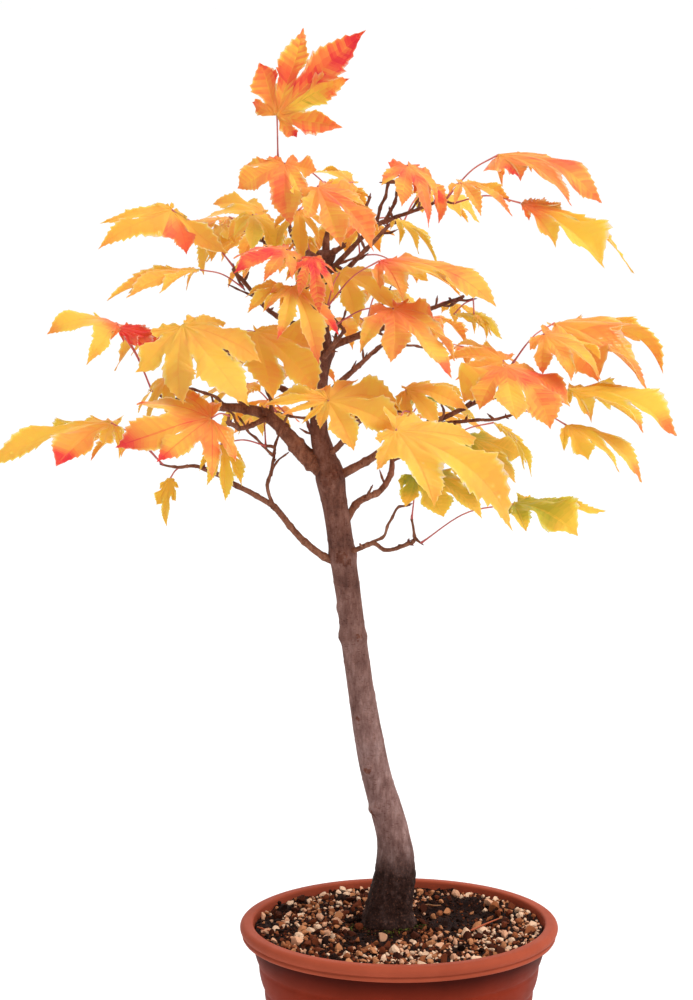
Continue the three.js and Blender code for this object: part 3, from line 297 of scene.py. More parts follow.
# masses: name, limb, seed, fillers along each twig, then (twig's end, leaves) for each twig
MASSES = [
    ("top_mass", "top_bough", 11, 0, [
        ((-67, -5, 570), [
            leaf("flame", 263, 83, 23, 353, 43, 80, 66, 0.4, 0.95, {2: -0.34, 4: -0.12, 3: 0.06}, 0.05, 1.1,
                 {0: (24, 0.95, 1), 1: (19, 1.0, 1.1), 2: (24, 0.86, 1.05), 3: (2, 1, 1),
                 4: (-6, 0.95, 0.9), 5: (-4, 0.88, 1.5), 6: (0, 0.9, 1.3)})]),
    ]),
    ("crown_mass", "trunk", 15, 0, [
        ((-38, -12, 553), [
            leaf("ember", 220, 25, 36, 268, -60, 0, 40, 0.7, 1.05, {2: 0.02, 4: -0.08}, 0.05, 1.4,
                 {0: (0, 0.8, 1), 1: (-24, 1.35, 0.6), 2: (-24, 0.95, 1.4), 4: (-10, 0.82, 1.2),
                 5: (0, 0.8, 1.2), 6: (0, 0.8, 1)}),
            leaf("ember", 258, 6, 34, 333, -42, 20, 50, 0.8, 0.85, {3: 0.14}, broad=1.25)]),
        ((-34, 10, 552), [
            leaf("gold", 48, 16, 12, 186, 10, -30, 28),
            leaf("amber", 95, 0, 18, blade=40),
            leaf("gold", 236, -14, 40, 275, -55, 0, 34, spread=0.9)]),
    ]),
    ("crown_left_mass", "top_left_bough", 13, 0, [
        ((-76, 12, 531), [
            leaf("gold", 275, 50, 12, 192, -12, -35, 38, broad=1.3),
            leaf("lemon", 262, 15, 34, 318, -50, 0, 34)]),
        ((-84, 32, 526), [
            leaf("gold", 187, 18, 16, 205, -65, 0, 34),
            leaf("amber", 130, stalk=20, blade=44)]),
    ]),
    ("high_left_mass", "left_high_bough", 12, 0, [
        ((-91, -12, 511), [
            leaf("gold", 185, 43, 46, 190, -18, -62, 45, 0.5, 1.0, {4: 0.44, 5: 0.04}, 0.05, 1.2,
                 {0: (0, 0.4, 0.7), 1: (10, 0.3, 0.7), 2: (26, 1.04, 0.5), 3: (8, 1.0, 0.62),
                 4: (62, 0.72, 1.3), 5: (50, 1.5, 0.8), 6: (34, 0.5, 0.8)})]),
        ((-86, -14, 500), [leaf("ochre", 195, 23, 26, 187, -15, -6, 53, 0.5, 0.45, tent=0.1)]),
    ]),
    ("crown_front_mass", "front_high_bough", 14, 0, [
        ((-54, -50, 516), [
            leaf("ember", 243, 28, 18, 204, -25, -25, 36, lobes={2: 0.08, 3: 0.14, 4: 0.1}),
            leaf("flame", 290, 15, 18, 282, -64, 0, 33, spread=0.8)]),
        ((-57, -50, 499), [
            leaf("blush", 262, 25, 14, 300, -58, 0, 44, spread=0.8, tips={4: 0.4, 5: 0.5}),
            leaf("gold", 235, 30, 11, 206, -28, -34, 27, spread=0.7)]),
    ]),
    ("centre_mass", "centre_bough", 20, 0, [
        ((-40, -40, 492), [
            leaf("gold", 75, 33, 30, 335, -33, 25, 46, broad=1.2),
            leaf("sunset", 335, 40, 40, 350, -21, 14, 64, 1.1, 0.7, tent=0.25, broad=1.5,
                 hand={2: (8, 0.95, 1.2), 3: (0, 1.0, 0.85), 1: (0, 0.85, 1)})]),
        ((-36, -40, 482), [
            leaf("scorched", 322, 16, 41, 319, -49, 15, 56, 0.9, broad=1.25, hand={2: (0, 0.82, 1),
                 3: (0, 0.93, 1)})]),
    ]),
    ("top_right_mass", "top_right_bough", 16, 0, [
        ((25, -14, 549), [
            leaf("ember", 348, 40, 36, 352, -26, 14, 62, 1.2, 0.65, {0: 0.1, 1: 0.12, 2: 0.08, 3: 0.05},
                 0.3, 1.6, {0: (-80, 1.9, 0.6), 1: (6, 0.7, 1), 2: (2, 1.02, 1.2), 3: (0, 1.04, 0.9),
                 4: (0, 0.8, 1), 5: (0, 0.7, 1)}),
            leaf("amber", 285, 20, 26, 338, -28, 15, 38, broad=0.75)]),
        ((28, -18, 546), [
            leaf("dawn", 332, 2, 40, 352, -25, 26, 74, 0.7, 0.45, tent=0.1, broad=1.25,
                 hand={0: (0, 0.7, 1), 1: (-8, 0.85, 1.1), 2: (-4, 0.98, 1.85), 3: (0, 0.97, 0.28),
                 4: (-8, 0.35, 0.8), 5: (0, 0.35, 0.8), 6: (0, 0.5, 1)})]),
    ]),
    ("inner_right_mass", "top_spur", 17, 0, [
        ((-10, -14, 557), [
            leaf("ember", 312, 27, 22, 305, -56, 0, 38, lobes={1: -0.15, 3: 0.22, 4: 0.1}, broad=1.2),
            leaf("flame", 0, 12, 20, 330, -58, 0, 30, spread=0.8)]),
    ]),
    ("right_high_mass", "top_right_low_bough", 18, 0, [
        ((2, 34, 532), [
            leaf("lemon", 255, 10, 22, 335, -46, 0, 38, spread=0.6),
            leaf("gold", 50, 45),
            leaf("amber", 150, 0)]),
    ]),
    ("right_upper_mass", "right_upper_bough", 19, 0, [
        ((40, 4, 492), [
            leaf("lemon", 200, -35, 14, 345, -25, 10, 30, spread=0.35),
            leaf("gold", 270, -30, 14, 330, -58, 0, 19, spread=0.4)]),
        ((20, 28, 486), [leaf("gold", 50, 0, 18, pitch=-40, blade=26)]),
    ]),
    ("left_mass", "left_main_bough", 21, 0, [
        ((-135, -30, 445), [
            leaf("dawn", 180, 63, 41, 190, -5, -16, 41, 1.1, 1.0, {0: 0.2, 2: 0.2}, 0.2, 1.3,
                 {4: (28, 1.1, 0.7), 5: (8, 0.4, 0.8), 6: (0, 0.6, 1)}, {3: 0.2}),
            leaf("crimson", 190, 62, 39, 350, -20, 40, 29, 0.6, 0.4, broad=1.7)]),
        ((-120, -36, 446), [leaf("gold", 235, 42, 12, 227, -56, 0, 34)]),
    ]),
    ("left_front_mass", "front_left_bough", 22, 0, [
        ((-92, -70, 437), [
            leaf("peach", 241, 2, 18, 190, -18, -55, 56, 0.9, broad=1.2, hand={4: (-10, 0.85, 1),
                 6: (-8, 1.6, 1.3)}, tips={2: 0.1, 3: 0.5, 4: 0.5})]),
    ]),
    ("left_upper_mass", "left_upper_bough", 23, 0, [
        ((-104, -22, 468), [
            leaf("gold", 251, 22, 42, 312, -40, 32, 66, 0.8, broad=1.3, hand={4: (-6, 0.9, 1),
                 5: (0, 0.7, 1), 6: (0, 0.6, 1)})]),
        ((-90, 6, 468), [
            leaf("ochre", 290, 16, 32, 330, -36, 28, 58, 0.8, broad=1.4, hand={4: (-6, 0.8, 1),
                 5: (0, 0.5, 1), 6: (0, 0.5, 1)})]),
        ((-104, 40, 466), [leaf("ochre", 178, 12, blade=42), leaf("gold", 85, 0)]),
    ]),
    ("low_left_mass", "low_left_bough", 24, 0, [
        ((-130, -24, 404), [
            leaf("gold", 202, 40, 38, 189, -20.5, -14, 72, 0.9, 0.9, {2: -0.2, 4: 0.2, 5: -0.1}, 0.15, 1.25,
                 {1: (0, 0.5, 0.8), 2: (10, 0.6, 0.7), 3: (0, 1, 0.7), 4: (6, 0.82, 1.1), 5: (6, 0.62, 1)},
                 {4: 0.85}),
            leaf("amber", 140, 22, 34, 158, -14, 0, 44)]),
        ((-122, -15, 401), [
            leaf("lemon", 200, -50, 7, 250, -75, 0, 26, 0.4, 0.6, broad=1.5, hand={0: (0, 0.4, 1),
                 1: (0, 0.6, 1), 2: (0, 0.72, 1.2), 4: (0, 0.62, 1.2), 5: (0, 0.5, 1), 6: (0, 0.4, 1)})]),
    ]),
    ("spur_mass", "low_left_spur", 25, 0, [
        ((-74, -14, 413), [
            leaf("lemon", 210, 6, 28, 285, -68, 0, 34, spread=0.7),
            leaf("lemon", 95, 36, 26, blade=36)]),
    ]),
    ("centre_front_mass", "right_small_bough", 26, 0, [
        ((-18, -60, 438), [
            leaf("gold", 210, 16, 26, 346, -20, 42, 50, 0.7, 1.1, broad=1.2, hand={0: (0, 0.65, 1),
                 1: (0, 0.58, 1), 2: (0, 0.82, 1.1)}),
            leaf("gold", 208, 18, 25, 192, -4, -55, 38, 0.7, 0.5)]),
        ((4, -62, 438), [
            leaf("gold", 260, -5, 46, 347, -33, 34, 92, 0.7, broad=1.4, hand={0: (0, 0.5, 0.8),
                 1: (-6, 0.5, 0.72), 2: (0, 0.6, 0.8), 3: (0, 1, 0.58), 4: (-4, 0.56, 0.8),
                 5: (0, 0.65, 0.8)}),
            leaf("gold", 100, 45, 15, 342, -14, 30, 40)]),
    ]),
    ("right_mass", "right_main_bough", 27, 0, [
        ((61, -22, 460), [
            leaf("amber", 42, 31.5, 37, 4, -17, 10, 74, 1, 0.75, tent=0.35, broad=1.4,
                 hand={1: (-8, 1.2, 1.2), 2: (-14, 1.15, 1.4), 3: (0, 1.02, 0.7), 5: (0, 0.6, 1)}),
            leaf("amber", 300, 31, 35, 345, -34, 26, 43, 0.8, 0.9, tent=0.2, broad=1.35)]),
        ((52, -34, 442), [
            leaf("scorched", 276, 38, 32, 320, -41, 15, 50, broad=1.5, hand={0: (0, 2.1, 1.5),
                 1: (0, 1.15, 1.1), 4: (0, 1.1, 1.1)}),
            leaf("amber", 70, 62, 22, 182, 0, -35, 40)]),
    ]),
    ("right_low_mass", "right_fork_bough", 28, 0, [
        ((66, -26, 434), [
            leaf("lemon", 351, 25, 27, 354, -18, 14, 66, 0.9, 0.65, tent=0.25, broad=1.4,
                 hand={0: (0, 0.6, 1), 1: (8, 0.62, 1), 2: (6, 0.9, 1), 3: (0, 1, 0.8)}, tips={1: 0.2,
                 2: 0.4, 3: 0.5}),
            leaf("lemon", 345, -16, 25, 348, -33, 6, 52, 1.1, 0.7, tent=0.25, broad=1.4, tips={2: 0.2,
                 3: 0.4})]),
    ]),
    ("low_right_mass", "low_right_bough", 29, 0, [
        ((11, -26, 361), [
            leaf("lime", 334, 25, 60, 351, -13, 6, 56, 0.9, 0.9, tent=0.1, broad=1.35,
                 hand={1: (0, 0.75, 1), 2: (3, 1.0, 1.15), 3: (0, 0.95, 0.6), 4: (0, 0.7, 1),
                 5: (0, 0.6, 1)})]),
        ((6, -24, 374), [leaf("turning", 282, 60, 32, 332, -29, 20, 47, broad=1.6)]),
    ]),
    ("right_back_mass", "right_curved_bough", 30, 1, [
        ((22, 40, 404), [
            leaf("turning", 310, 19, 26, 335, -42, 26, 42, broad=1.7),
            leaf("lemon", 8, 24, 35, 345, -54, 0, 39, spread=0.36, broad=1.0)]),
        ((4, 76, 410), [leaf("turning", 45, 45), leaf("gold", 120, 36)]),
    ]),
    ("back_low_mass", "back_low_bough", 31, 1, [
        ((-70, 78, 420), [leaf("gold", 190, 45), leaf("amber", 110, 0)]),
        ((-44, 86, 426), [leaf("gold", 45, 0), leaf("blush", 120, 50)]),
    ]),
    ("back_mid_mass", "back_mid_bough", 32, 0, [
        ((14, 72, 458), [leaf("amber", 10, 0), leaf("ember", 80, 40)]),
        ((-18, 78, 472), [leaf("gold", 70, 45), leaf("amber", 122, 0)]),
    ]),
    ("back_high_mass", "back_high_bough", 33, 0, [
        ((-22, 68, 511), [leaf("gold", 28, -12), leaf("sunset", 100, 50)]),
        ((-56, 66, 510), [leaf("amber", 125, 0), leaf("gold", 200, 45)]),
    ]),
]
# small side twigs on each bough, how many of them bear leaves, and the looks that those draw from
FINER = {
    "left_main_bough": (5, 0), "right_main_bough": (4, 0), "left_upper_bough": (3, 0),
    "centre_bough": (2, 0), "right_upper_bough": (4, 0), "left_high_bough": (2, 0),
    "front_high_bough": (2, 0), "top_right_bough": (4, 0), "top_right_low_bough": (3, 0),
    "top_left_bough": (3, 1), "top_bough": (2, 0), "back_low_bough": (4, 0), "back_mid_bough": (3, 0),
    "back_high_bough": (3, 0), "right_curved_bough": (3, 0), "low_right_bough": (2, 0),
}
FINER_LOOKS = ["lemon", "gold", "lemon", "gold", "amber", "lemon", "ochre"]
LEAF_PIECES = {
    "leaves_top": ["top_mass", "crown_mass", "crown_left_mass", "high_left_mass", "crown_front_mass"],
    "leaves_left": ["left_mass", "left_front_mass", "left_upper_mass", "low_left_mass", "spur_mass"],
    "leaves_centre": ["centre_mass", "centre_front_mass"],
    "leaves_high_right": ["top_right_mass", "inner_right_mass", "right_high_mass", "right_upper_mass"],
    "leaves_low_right": ["right_mass", "right_low_mass", "low_right_mass", "right_back_mass"],
    "leaves_back": ["back_low_mass", "back_mid_mass", "back_high_mass"],
}
HOMES = {mass: piece for piece, masses in LEAF_PIECES.items() for mass in masses}


# arithmetic

def seeded(seed):
    """Repeatable draws between 0 and 1."""
    state = seed & 0xFFFFFFFF

    def draw():
        nonlocal state
        state = (state + 0x6D2B79F5) & 0xFFFFFFFF
        t = ((state ^ (state >> 15)) * (state | 1)) & 0xFFFFFFFF
        t ^= (t + (((t ^ (t >> 7)) * (t | 61)) & 0xFFFFFFFF)) & 0xFFFFFFFF
        return ((t ^ (t >> 14)) & 0xFFFFFFFF) / 4294967296

    return draw


def between(low, high, share):
    return low + (high - low) * share


def unit(vector):
    return vector / np.linalg.norm(vector)


def smooth(x):
    """0 below 0, 1 above 1, and an easy curve between."""
    x = np.clip(x, 0, 1)
    return x * x * (3 - 2 * x)


def direction(bearing, rise):
    b = math.radians(bearing)
    e = math.radians(rise)
    return np.array([math.cos(e) * math.cos(b), math.cos(e) * math.sin(b), math.sin(e)])


def around(sides):
    """Angles of evenly spaced places round a ring."""
    return 2 * np.pi * np.arange(sides) / sides


def field(points, seed=0):
    """Smooth noise from -1 to 1, about one lump to each unit of length."""
    points = np.asarray(points, float)
    cell = np.floor(points).astype(np.int64)
    part = smooth(points - cell)
    total = np.zeros(points.shape[:-1])
    with np.errstate(over="ignore"):
        for corner in np.ndindex(2, 2, 2):
            at = cell + np.array(corner)
            code = at[..., 0] * 374761393 + at[..., 1] * 668265263 + at[..., 2] * 362437 + seed * 974634
            code = (code ^ (code >> 13)) * 1274126177
            code = (code ^ (code >> 16)) & 0xFFFF
            weight = np.prod(np.where(np.array(corner) == 1, part, 1 - part), axis=-1)
            total += weight * (code / 32767.5 - 1)
    return total


def run_of(path):
    """Length along a path at each of its places."""
    return np.concatenate([[0], np.cumsum(np.linalg.norm(np.diff(path, axis=0), axis=1))])


def spline(points, steps):
    """Evenly spaced places along a smooth curve through the points."""
    p = np.array(points, float)
    p = np.vstack([2 * p[0] - p[1], p, 2 * p[-1] - p[-2]])
    t = np.linspace(0, 1, 61)[:, None]
    places = []
    for a, b, c, d in zip(p, p[1:], p[2:], p[3:]):
        ab, bc, cd = [max(1e-4, math.sqrt(np.linalg.norm(q))) for q in (b - a, c - b, d - c)]
        start = ((b - a) / ab - (c - a) / (ab + bc) + (c - b) / bc) * bc
        end = ((c - b) / bc - (d - b) / (bc + cd) + (d - c) / cd) * bc
        square = 3 * (c - b) - 2 * start - end
        cube = 2 * (b - c) + start + end
        places.append(b + start * t + square * t ** 2 + cube * t ** 3)
    dense = np.vstack([places[0]] + [q[1:] for q in places[1:]])
    run = run_of(dense)
    even = np.linspace(0, run[-1], steps + 1)
    return np.stack([np.interp(even, run, dense[:, k]) for k in range(3)], axis=1)


# meshes

def linked(name, data):
    """A new object in the scene."""
    thing = bpy.data.objects.new(name, data)
    bpy.context.scene.collection.objects.link(thing)
    return thing


class Pile:
    """Vertices and faces gathered for one piece, with a material number for each face."""

    def __init__(self):
        self.points = []
        self.count = 0
        self.faces = {3: [], 4: []}
        self.tints = {3: [], 4: []}
        self.sharp = []

    def add(self, points, groups, tints=0, sharp=None):
        """Take in points and groups of faces, with one tint for all or a list of each group's."""
        tints = tints if isinstance(tints, list) else [tints] * len(groups)
        for group, tint in zip(groups, tints):
            kind = group.shape[1]
            self.faces[kind].append(group + self.count)
            self.tints[kind].append(np.broadcast_to(tint, len(group)))
        if sharp is not None:
            self.sharp.append(sharp + self.count)
        self.points.append(points)
        self.count += len(points)

    def piece(self, name, materials, smooth_faces=True):
        points = np.vstack(self.points) * MM
        kinds = [kind for kind in (3, 4) if self.faces[kind]]
        groups = [np.vstack(self.faces[kind]) for kind in kinds]
        loops = np.concatenate([group.ravel() for group in groups])
        sizes = np.concatenate([np.full(len(group), kind) for group, kind in zip(groups, kinds)])
        tints = np.concatenate([tint for kind in kinds for tint in self.tints[kind]])
        starts = np.concatenate([[0], np.cumsum(sizes)[:-1]])
        mesh = bpy.data.meshes.new(name)
        mesh.vertices.add(len(points))
        mesh.vertices.foreach_set("co", points.astype(np.float32).ravel())
        mesh.loops.add(len(loops))
        mesh.loops.foreach_set("vertex_index", loops.astype(np.int32))
        mesh.polygons.add(len(sizes))
        mesh.polygons.foreach_set("loop_start", starts.astype(np.int32))
        mesh.polygons.foreach_set("material_index", tints.astype(np.int32))
        mesh.polygons.foreach_set("use_smooth", np.full(len(sizes), smooth_faces))
        for material in materials:
            mesh.materials.append(material)
        mesh.update(calc_edges=True)
        if self.sharp:
            keys = np.sort(np.vstack(self.sharp), axis=1)
            ends = np.empty(2 * len(mesh.edges), np.int32)
            mesh.edges.foreach_get("vertices", ends)
            ends = np.sort(ends.reshape(-1, 2), axis=1).astype(np.int64)
            edge = np.isin(ends[:, 0] * self.count + ends[:, 1], keys[:, 0] * self.count + keys[:, 1])
            mesh.edges.foreach_set("use_edge_sharp", edge)
        mesh.validate()
        thing = linked(name, mesh)
        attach(thing, BODY)
        return thing


def crosswise(path):
    """Two directions across a path at each of its places, without twist."""
    tangent = np.gradient(path, axis=0)
    tangent /= np.linalg.norm(tangent, axis=1)[:, None]
    first = np.array([1.0, 0, 0]) if abs(tangent[0][0]) < 0.9 else np.array([0, 1.0, 0])
    normal = np.empty_like(tangent)
    for i, t in enumerate(tangent):
        first = unit(first - t * (first @ t))
        normal[i] = first
    return normal, np.cross(tangent, normal)


def capped(rings, first, last):
    """Points and faces of a tube of rings that is closed at a middle point at each end."""
    rows, sides = rings.shape[:2]
    i, j = np.meshgrid(np.arange(rows - 1), np.arange(sides), indexing="ij")
    k = (j + 1) % sides
    low = i * sides
    high = low + sides
    walls = np.stack([low + j, low + k, high + k, high + j], -1).reshape(-1, 4)
    count = rows * sides
    j = np.arange(sides)
    k = (j + 1) % sides
    top = count - sides
    ends = np.vstack([np.stack([np.full(sides, count), k, j], 1),
                      np.stack([np.full(sides, count + 1), top + j, top + k], 1)])
    return np.vstack([rings.reshape(-1, 3), first, last]), [walls, ends]


def tube(path, radii, sides, relief=None):
    """A closed round limb; relief gives what each place adds to the radius, from its place and angle."""
    normal, across = crosswise(path)
    angle = around(sides)
    out = normal[:, None] * np.cos(angle)[None, :, None] + across[:, None] * np.sin(angle)[None, :, None]
    rings = path[:, None] + out * np.asarray(radii, float)[:, None, None]
    if relief is not None:
        rings = rings + out * relief(rings, angle)[..., None]
    return capped(rings, path[0], path[-1])


def hoops(radii, heights, sides):
    """Level rings about the upright axis."""
    angle = around(sides)
    radii = np.asarray(radii, float)[:, None]
    heights = np.repeat(np.asarray(heights, float)[:, None], sides, axis=1)
    return np.stack([radii * np.cos(angle), radii * np.sin(angle), heights], -1)


# materials

def linear(colour):
    """Base colour of a colour given in 0 to 255."""
    share = np.array(colour, float) / 255
    return (*np.where(share <= 0.04045, share / 12.92, ((share + 0.055) / 1.055) ** 2.4), 1.0)


def plain(name, colour, roughness, specular):
    material = bpy.data.materials.new(name)
    material.use_nodes = True
    shader = material.node_tree.nodes["Principled BSDF"]
    shader.inputs["Base Color"].default_value = linear(colour)
    shader.inputs["Roughness"].default_value = roughness
    shader.inputs["Specular IOR Level"].default_value = specular
    material.diffuse_color = linear(colour)
    return material


class Nodes:
    """A tree of shading nodes, with the few kinds that are used here."""

    def __init__(self, tree, place):
        self.tree = tree
        self.place = self.add("TexCoord", place, {})

    def feed(self, socket, value):
        """Join another node's output to an input, or set it to a plain value."""
        if isinstance(value, bpy.types.NodeSocket):
            self.tree.links.new(value, socket)
        else:
            socket.default_value = value

    def add(self, kind, output, inputs, **settings):
        node = self.tree.nodes.new("ShaderNode" + kind)
        for name, value in settings.items():
            setattr(node, name, value)
        for name, value in inputs.items():
            self.feed(node.inputs[name], value)
        return node.outputs[output]

    def part(self, axis):
        return self.add("SeparateXYZ", axis, {0: self.place})

    def stretched(self, scale):
        return self.add("Mapping", "Vector", {"Vector": self.place, "Scale": scale})

    def noise(self, scale, detail, roughness, stretch=None):
        place = self.stretched(stretch) if stretch else self.place
        inputs = {"Vector": place, "Scale": scale, "Detail": detail, "Roughness": roughness}
        return self.add("TexNoise", "Fac", inputs)

    def span(self, source, given, wanted=(0.0, 1.0), **settings):
        """One range of values turned into another."""
        inputs = {"Value": source, "From Min": given[0], "From Max": given[1]}
        inputs.update({"To Min": wanted[0], "To Max": wanted[1]})
        return self.add("MapRange", "Result", inputs, **settings)

    def height(self, low, high):
        """0 at one height in millimetres and 1 at another."""
        return self.span(self.part("Z"), (low * MM, high * MM))

    def math(self, operation, *values):
        return self.add("Math", "Value", dict(enumerate(values)), operation=operation)

    def ramp(self, source, *stops):
        output = self.add("ValToRGB", "Color", {"Fac": source})
        elements = output.node.color_ramp.elements
        while len(elements) < len(stops):
            elements.new(0.5)
        for element, (at, colour) in zip(elements, stops):
            element.position = at
            element.color = linear(colour)
        return output

    def mix(self, share, first, second, kind="MIX"):
        inputs = {"Factor": share, "A": first, "B": second}
        return self.add("Mix", "Result", inputs, data_type="RGBA", blend_type=kind)

    def bump(self, source, strength, depth):
        return self.add("Bump", "Normal", {"Height": source, "Strength": strength, "Distance": depth * MM})

    def shade(self, inputs):
        for name, value in inputs.items():
            self.feed(self.tree.nodes["Principled BSDF"].inputs[name], value)


def bark_material(name, foot, ruddy, low, high):
    """Smooth mottled bark in three near colours: stained low down, between the heights of foot, and ruddier
    higher up, between those of ruddy."""
    material = plain(name, low[1], 0.8, 0.12)
    nodes = Nodes(material.node_tree, "Object")
    streak = nodes.noise(640.0, 4.0, 0.65, (1.0, 1.0, 0.22))
    patch = nodes.noise(150.0, 6.0, 0.72, (1.0, 1.0, 0.55))
    fleck = nodes.noise(620.0, 3.0, 0.6, (0.8, 0.8, 2.2))
    speck = nodes.noise(900.0, 4.0, 0.7)
    greyer, redder = [nodes.ramp(patch, *zip((0.32, 0.50, 0.68), colours)) for colours in (low, high)]
    skin = nodes.mix(nodes.height(*ruddy), greyer, redder)
    grain = nodes.ramp(streak, (0.28, (142, 132, 130)), (0.50, (188, 188, 188)), (0.72, (226, 224, 222)))
    skin = nodes.mix(0.7, skin, grain, "SOFT_LIGHT")
    pores = nodes.ramp(fleck, (0.30, (104, 90, 84)), (0.42, (184, 184, 184)), (0.66, (188, 188, 188)),
                       (0.78, (240, 234, 228)))
    skin = nodes.mix(0.8, skin, pores, "SOFT_LIGHT")
    stained = nodes.ramp(speck, (0.35, (28, 15, 12)), (0.58, (54, 31, 25)), (0.78, (124, 82, 62)))
    wander = nodes.math("MULTIPLY_ADD", patch, 1.1, -0.55)
    share = nodes.math("ADD", nodes.height(*foot), wander)
    nodes.shade({
        "Base Color": nodes.mix(share, stained, skin),
        "Roughness": nodes.span(streak, (0.0, 1.0), (0.62, 0.9)),
        "Normal": nodes.bump(streak, 0.4, 0.4),
    })
    return material


def pot_material():
    material = plain("pot_terracotta", (160, 72, 50), 0.5, 0.05)
    nodes = Nodes(material.node_tree, "Object")
    cloud = nodes.noise(26.0, 4.0, 0.55)
    scuff = nodes.noise(150.0, 6.0, 0.72, (0.5, 0.5, 1.6))
    rim = nodes.ramp(cloud, (0.32, (152, 68, 46)), (0.66, (168, 78, 54)))
    # the wall's base colour is darker than the rim's, partly the pot's own colour and partly painted shade
    # below the overhanging rim
    wall = nodes.ramp(cloud, (0.32, (116, 37, 18)), (0.66, (136, 45, 24)))
    # painted shadow of the rim: the wall is darkest in its top few millimetres and lighter from 15 mm below
    # the rim
    painted_rim_shadow = nodes.ramp(cloud, (0.32, (64, 15, 6)), (0.66, (78, 20, 9)))
    wall = nodes.mix(nodes.height(WALL_TOP - 15, WALL_TOP - 3), wall, painted_rim_shadow)
    base = nodes.mix(nodes.height(WALL_TOP - 0.6, WALL_TOP + 0.4), wall, rim)
    dust = nodes.ramp(scuff, (0.62, (0, 0, 0)), (0.80, (70, 70, 70)))
    pale = nodes.ramp(cloud, (0.2, (178, 106, 84)), (0.8, (170, 96, 74)))
    nodes.shade({
        "Base Color": nodes.mix(dust, base, pale),
        "Roughness": nodes.span(scuff, (0.0, 1.0), (0.4, 0.7)),
        "Normal": nodes.bump(nodes.noise(700.0, 3.0, 0.6), 0.12, 0.1),
    })
    return material


def soil_material():
    material = plain("soil_peat", (46, 28, 20), 0.95, 0.15)
    nodes = Nodes(material.node_tree, "Object")
    crumb = nodes.noise(520.0, 6.0, 0.7)
    patch = nodes.noise(60.0, 4.0, 0.6)
    base = nodes.ramp(crumb, (0.34, (19, 8, 5)), (0.55, (40, 18, 12)), (0.74, (82, 41, 26)))
    moss = nodes.ramp(patch, (0.50, (126, 118, 112)), (0.72, (108, 118, 66)))
    nodes.shade({
        "Base Color": nodes.mix(0.35, base, moss, "SOFT_LIGHT"),
        "Normal": nodes.bump(crumb, 0.9, 1.2),
    })
    return material


def ripe_tints():
    """The leaves' colours, evenly spaced on the scale of ripeness."""
    steps = np.linspace(RIPENESS[0][0], RIPENESS[-1][0], TINT_COUNT)
    marks = [mark for mark, _ in RIPENESS]
    tints = []
    for number, step in enumerate(steps):
        colour = [np.interp(step, marks, [c[k] for _, c in RIPENESS]) for k in range(3)]
        tint = plain("leaf_%02d" % number, colour, 0.55, 0.12)
        shader = tint.node_tree.nodes["Principled BSDF"]
        shader.inputs["Subsurface Weight"].default_value = 0.6
        shader.inputs["Subsurface Radius"].default_value = (1.0, 0.75, 0.35)
        shader.inputs["Subsurface Scale"].default_value = 0.001
        tints.append(tint)
    return tints


def tint_of(ripe):
    """The number of the tint that is nearest to each ripeness."""
    low, high = RIPENESS[0][0], RIPENESS[-1][0]
    number = (ripe - low) / (high - low) * (TINT_COUNT - 1)
    return np.clip(np.round(number), 0, TINT_COUNT - 1).astype(int)


# limbs

limbs = {}  # the path of each, root to tip


def limb_share(path, at):
    """A place on a limb, at a share of its length."""
    run = run_of(path)
    return np.array([np.interp(at * run[-1], run, path[:, k]) for k in range(3)])


def trunk_place(z):
    path = limbs["trunk"]
    return np.array([np.interp(z, path[:, 2], path[:, k]) for k in range(3)])


def trunk_radius(z):
    swell = sum(s * np.exp(-((z - h) / w) ** 2) for h, s, w in TRUNK_NODES)
    return np.interp(z, [t[2] for t in TRUNK], [t[3] for t in TRUNK]) + swell


def from_knot(z, turn, knot):
    """How far a place on the trunk lies from a knot's middle, in half-widths of the knot."""
    height, bearing, _, width = knot
    aside = (np.degrees(turn) - bearing + 180) % 360 - 180
    return np.hypot(np.radians(aside) * trunk_radius(z), z - height) / width


def trunk_relief(rings, angle):
    """Root flare, striated bark, scars that ring the stem, and knots."""
    z = rings[..., 2]
    turn = angle[None, :]
    rough_foot = smooth((ROUGH_TOP - z) / 40)
    flare = smooth((FLARE_TOP - z) / 24)
    lobed = 1.6 * np.cos(3 * turn + 0.7) + 1.1 * np.cos(5 * turn + 2.1) + 0.7 * np.cos(8 * turn)
    relief = flare * lobed * 0.8
    fine = rings / (1.3, 1.3, 9)
    broad = rings / (5, 5, 16)
    rough = rings / 2.2
    relief = relief + 0.10 * field(fine, 1) + 0.28 * field(broad, 2)
    relief = relief + rough_foot * (0.55 * field(rough, 3) + 0.35 * field(rough * 2.3, 4))
    scars = np.abs(((z + 1.5 * field(broad, 5)) % SCAR_GAP) - SCAR_GAP / 2)
    relief = relief + 0.2 * np.exp(-(scars / 0.8) ** 2) * smooth((z - 190) / 30)
    relief = relief + smooth((z - KNOBBLY_FROM) / 12) * 0.5 * field(rings / 3.4, 6)
    for knot in KNOTS:
        far = from_knot(z, turn, knot)
        relief = relief + knot[2] * np.exp(-far ** 2) - 0.55 * knot[2] * np.exp(-(far / 0.35) ** 2)
    return relief


def knot_faces(path, sides):
    """1 for the faces of the trunk's tube that lie on a knot, with a ragged edge."""
    z = (path[:-1, 2] + path[1:, 2])[:, None] / 2
    turn = 2 * np.pi * (np.arange(sides)[None, :] + 0.5) / sides
    z, turn = np.broadcast_arrays(z, turn)
    ragged = 0.55 + 0.45 * field(np.stack([z / 1.4, 9 * np.cos(turn), 9 * np.sin(turn)], -1), 12)
    return np.any([from_knot(z, turn, knot) < ragged for knot in KNOTS], axis=0).astype(int).ravel()


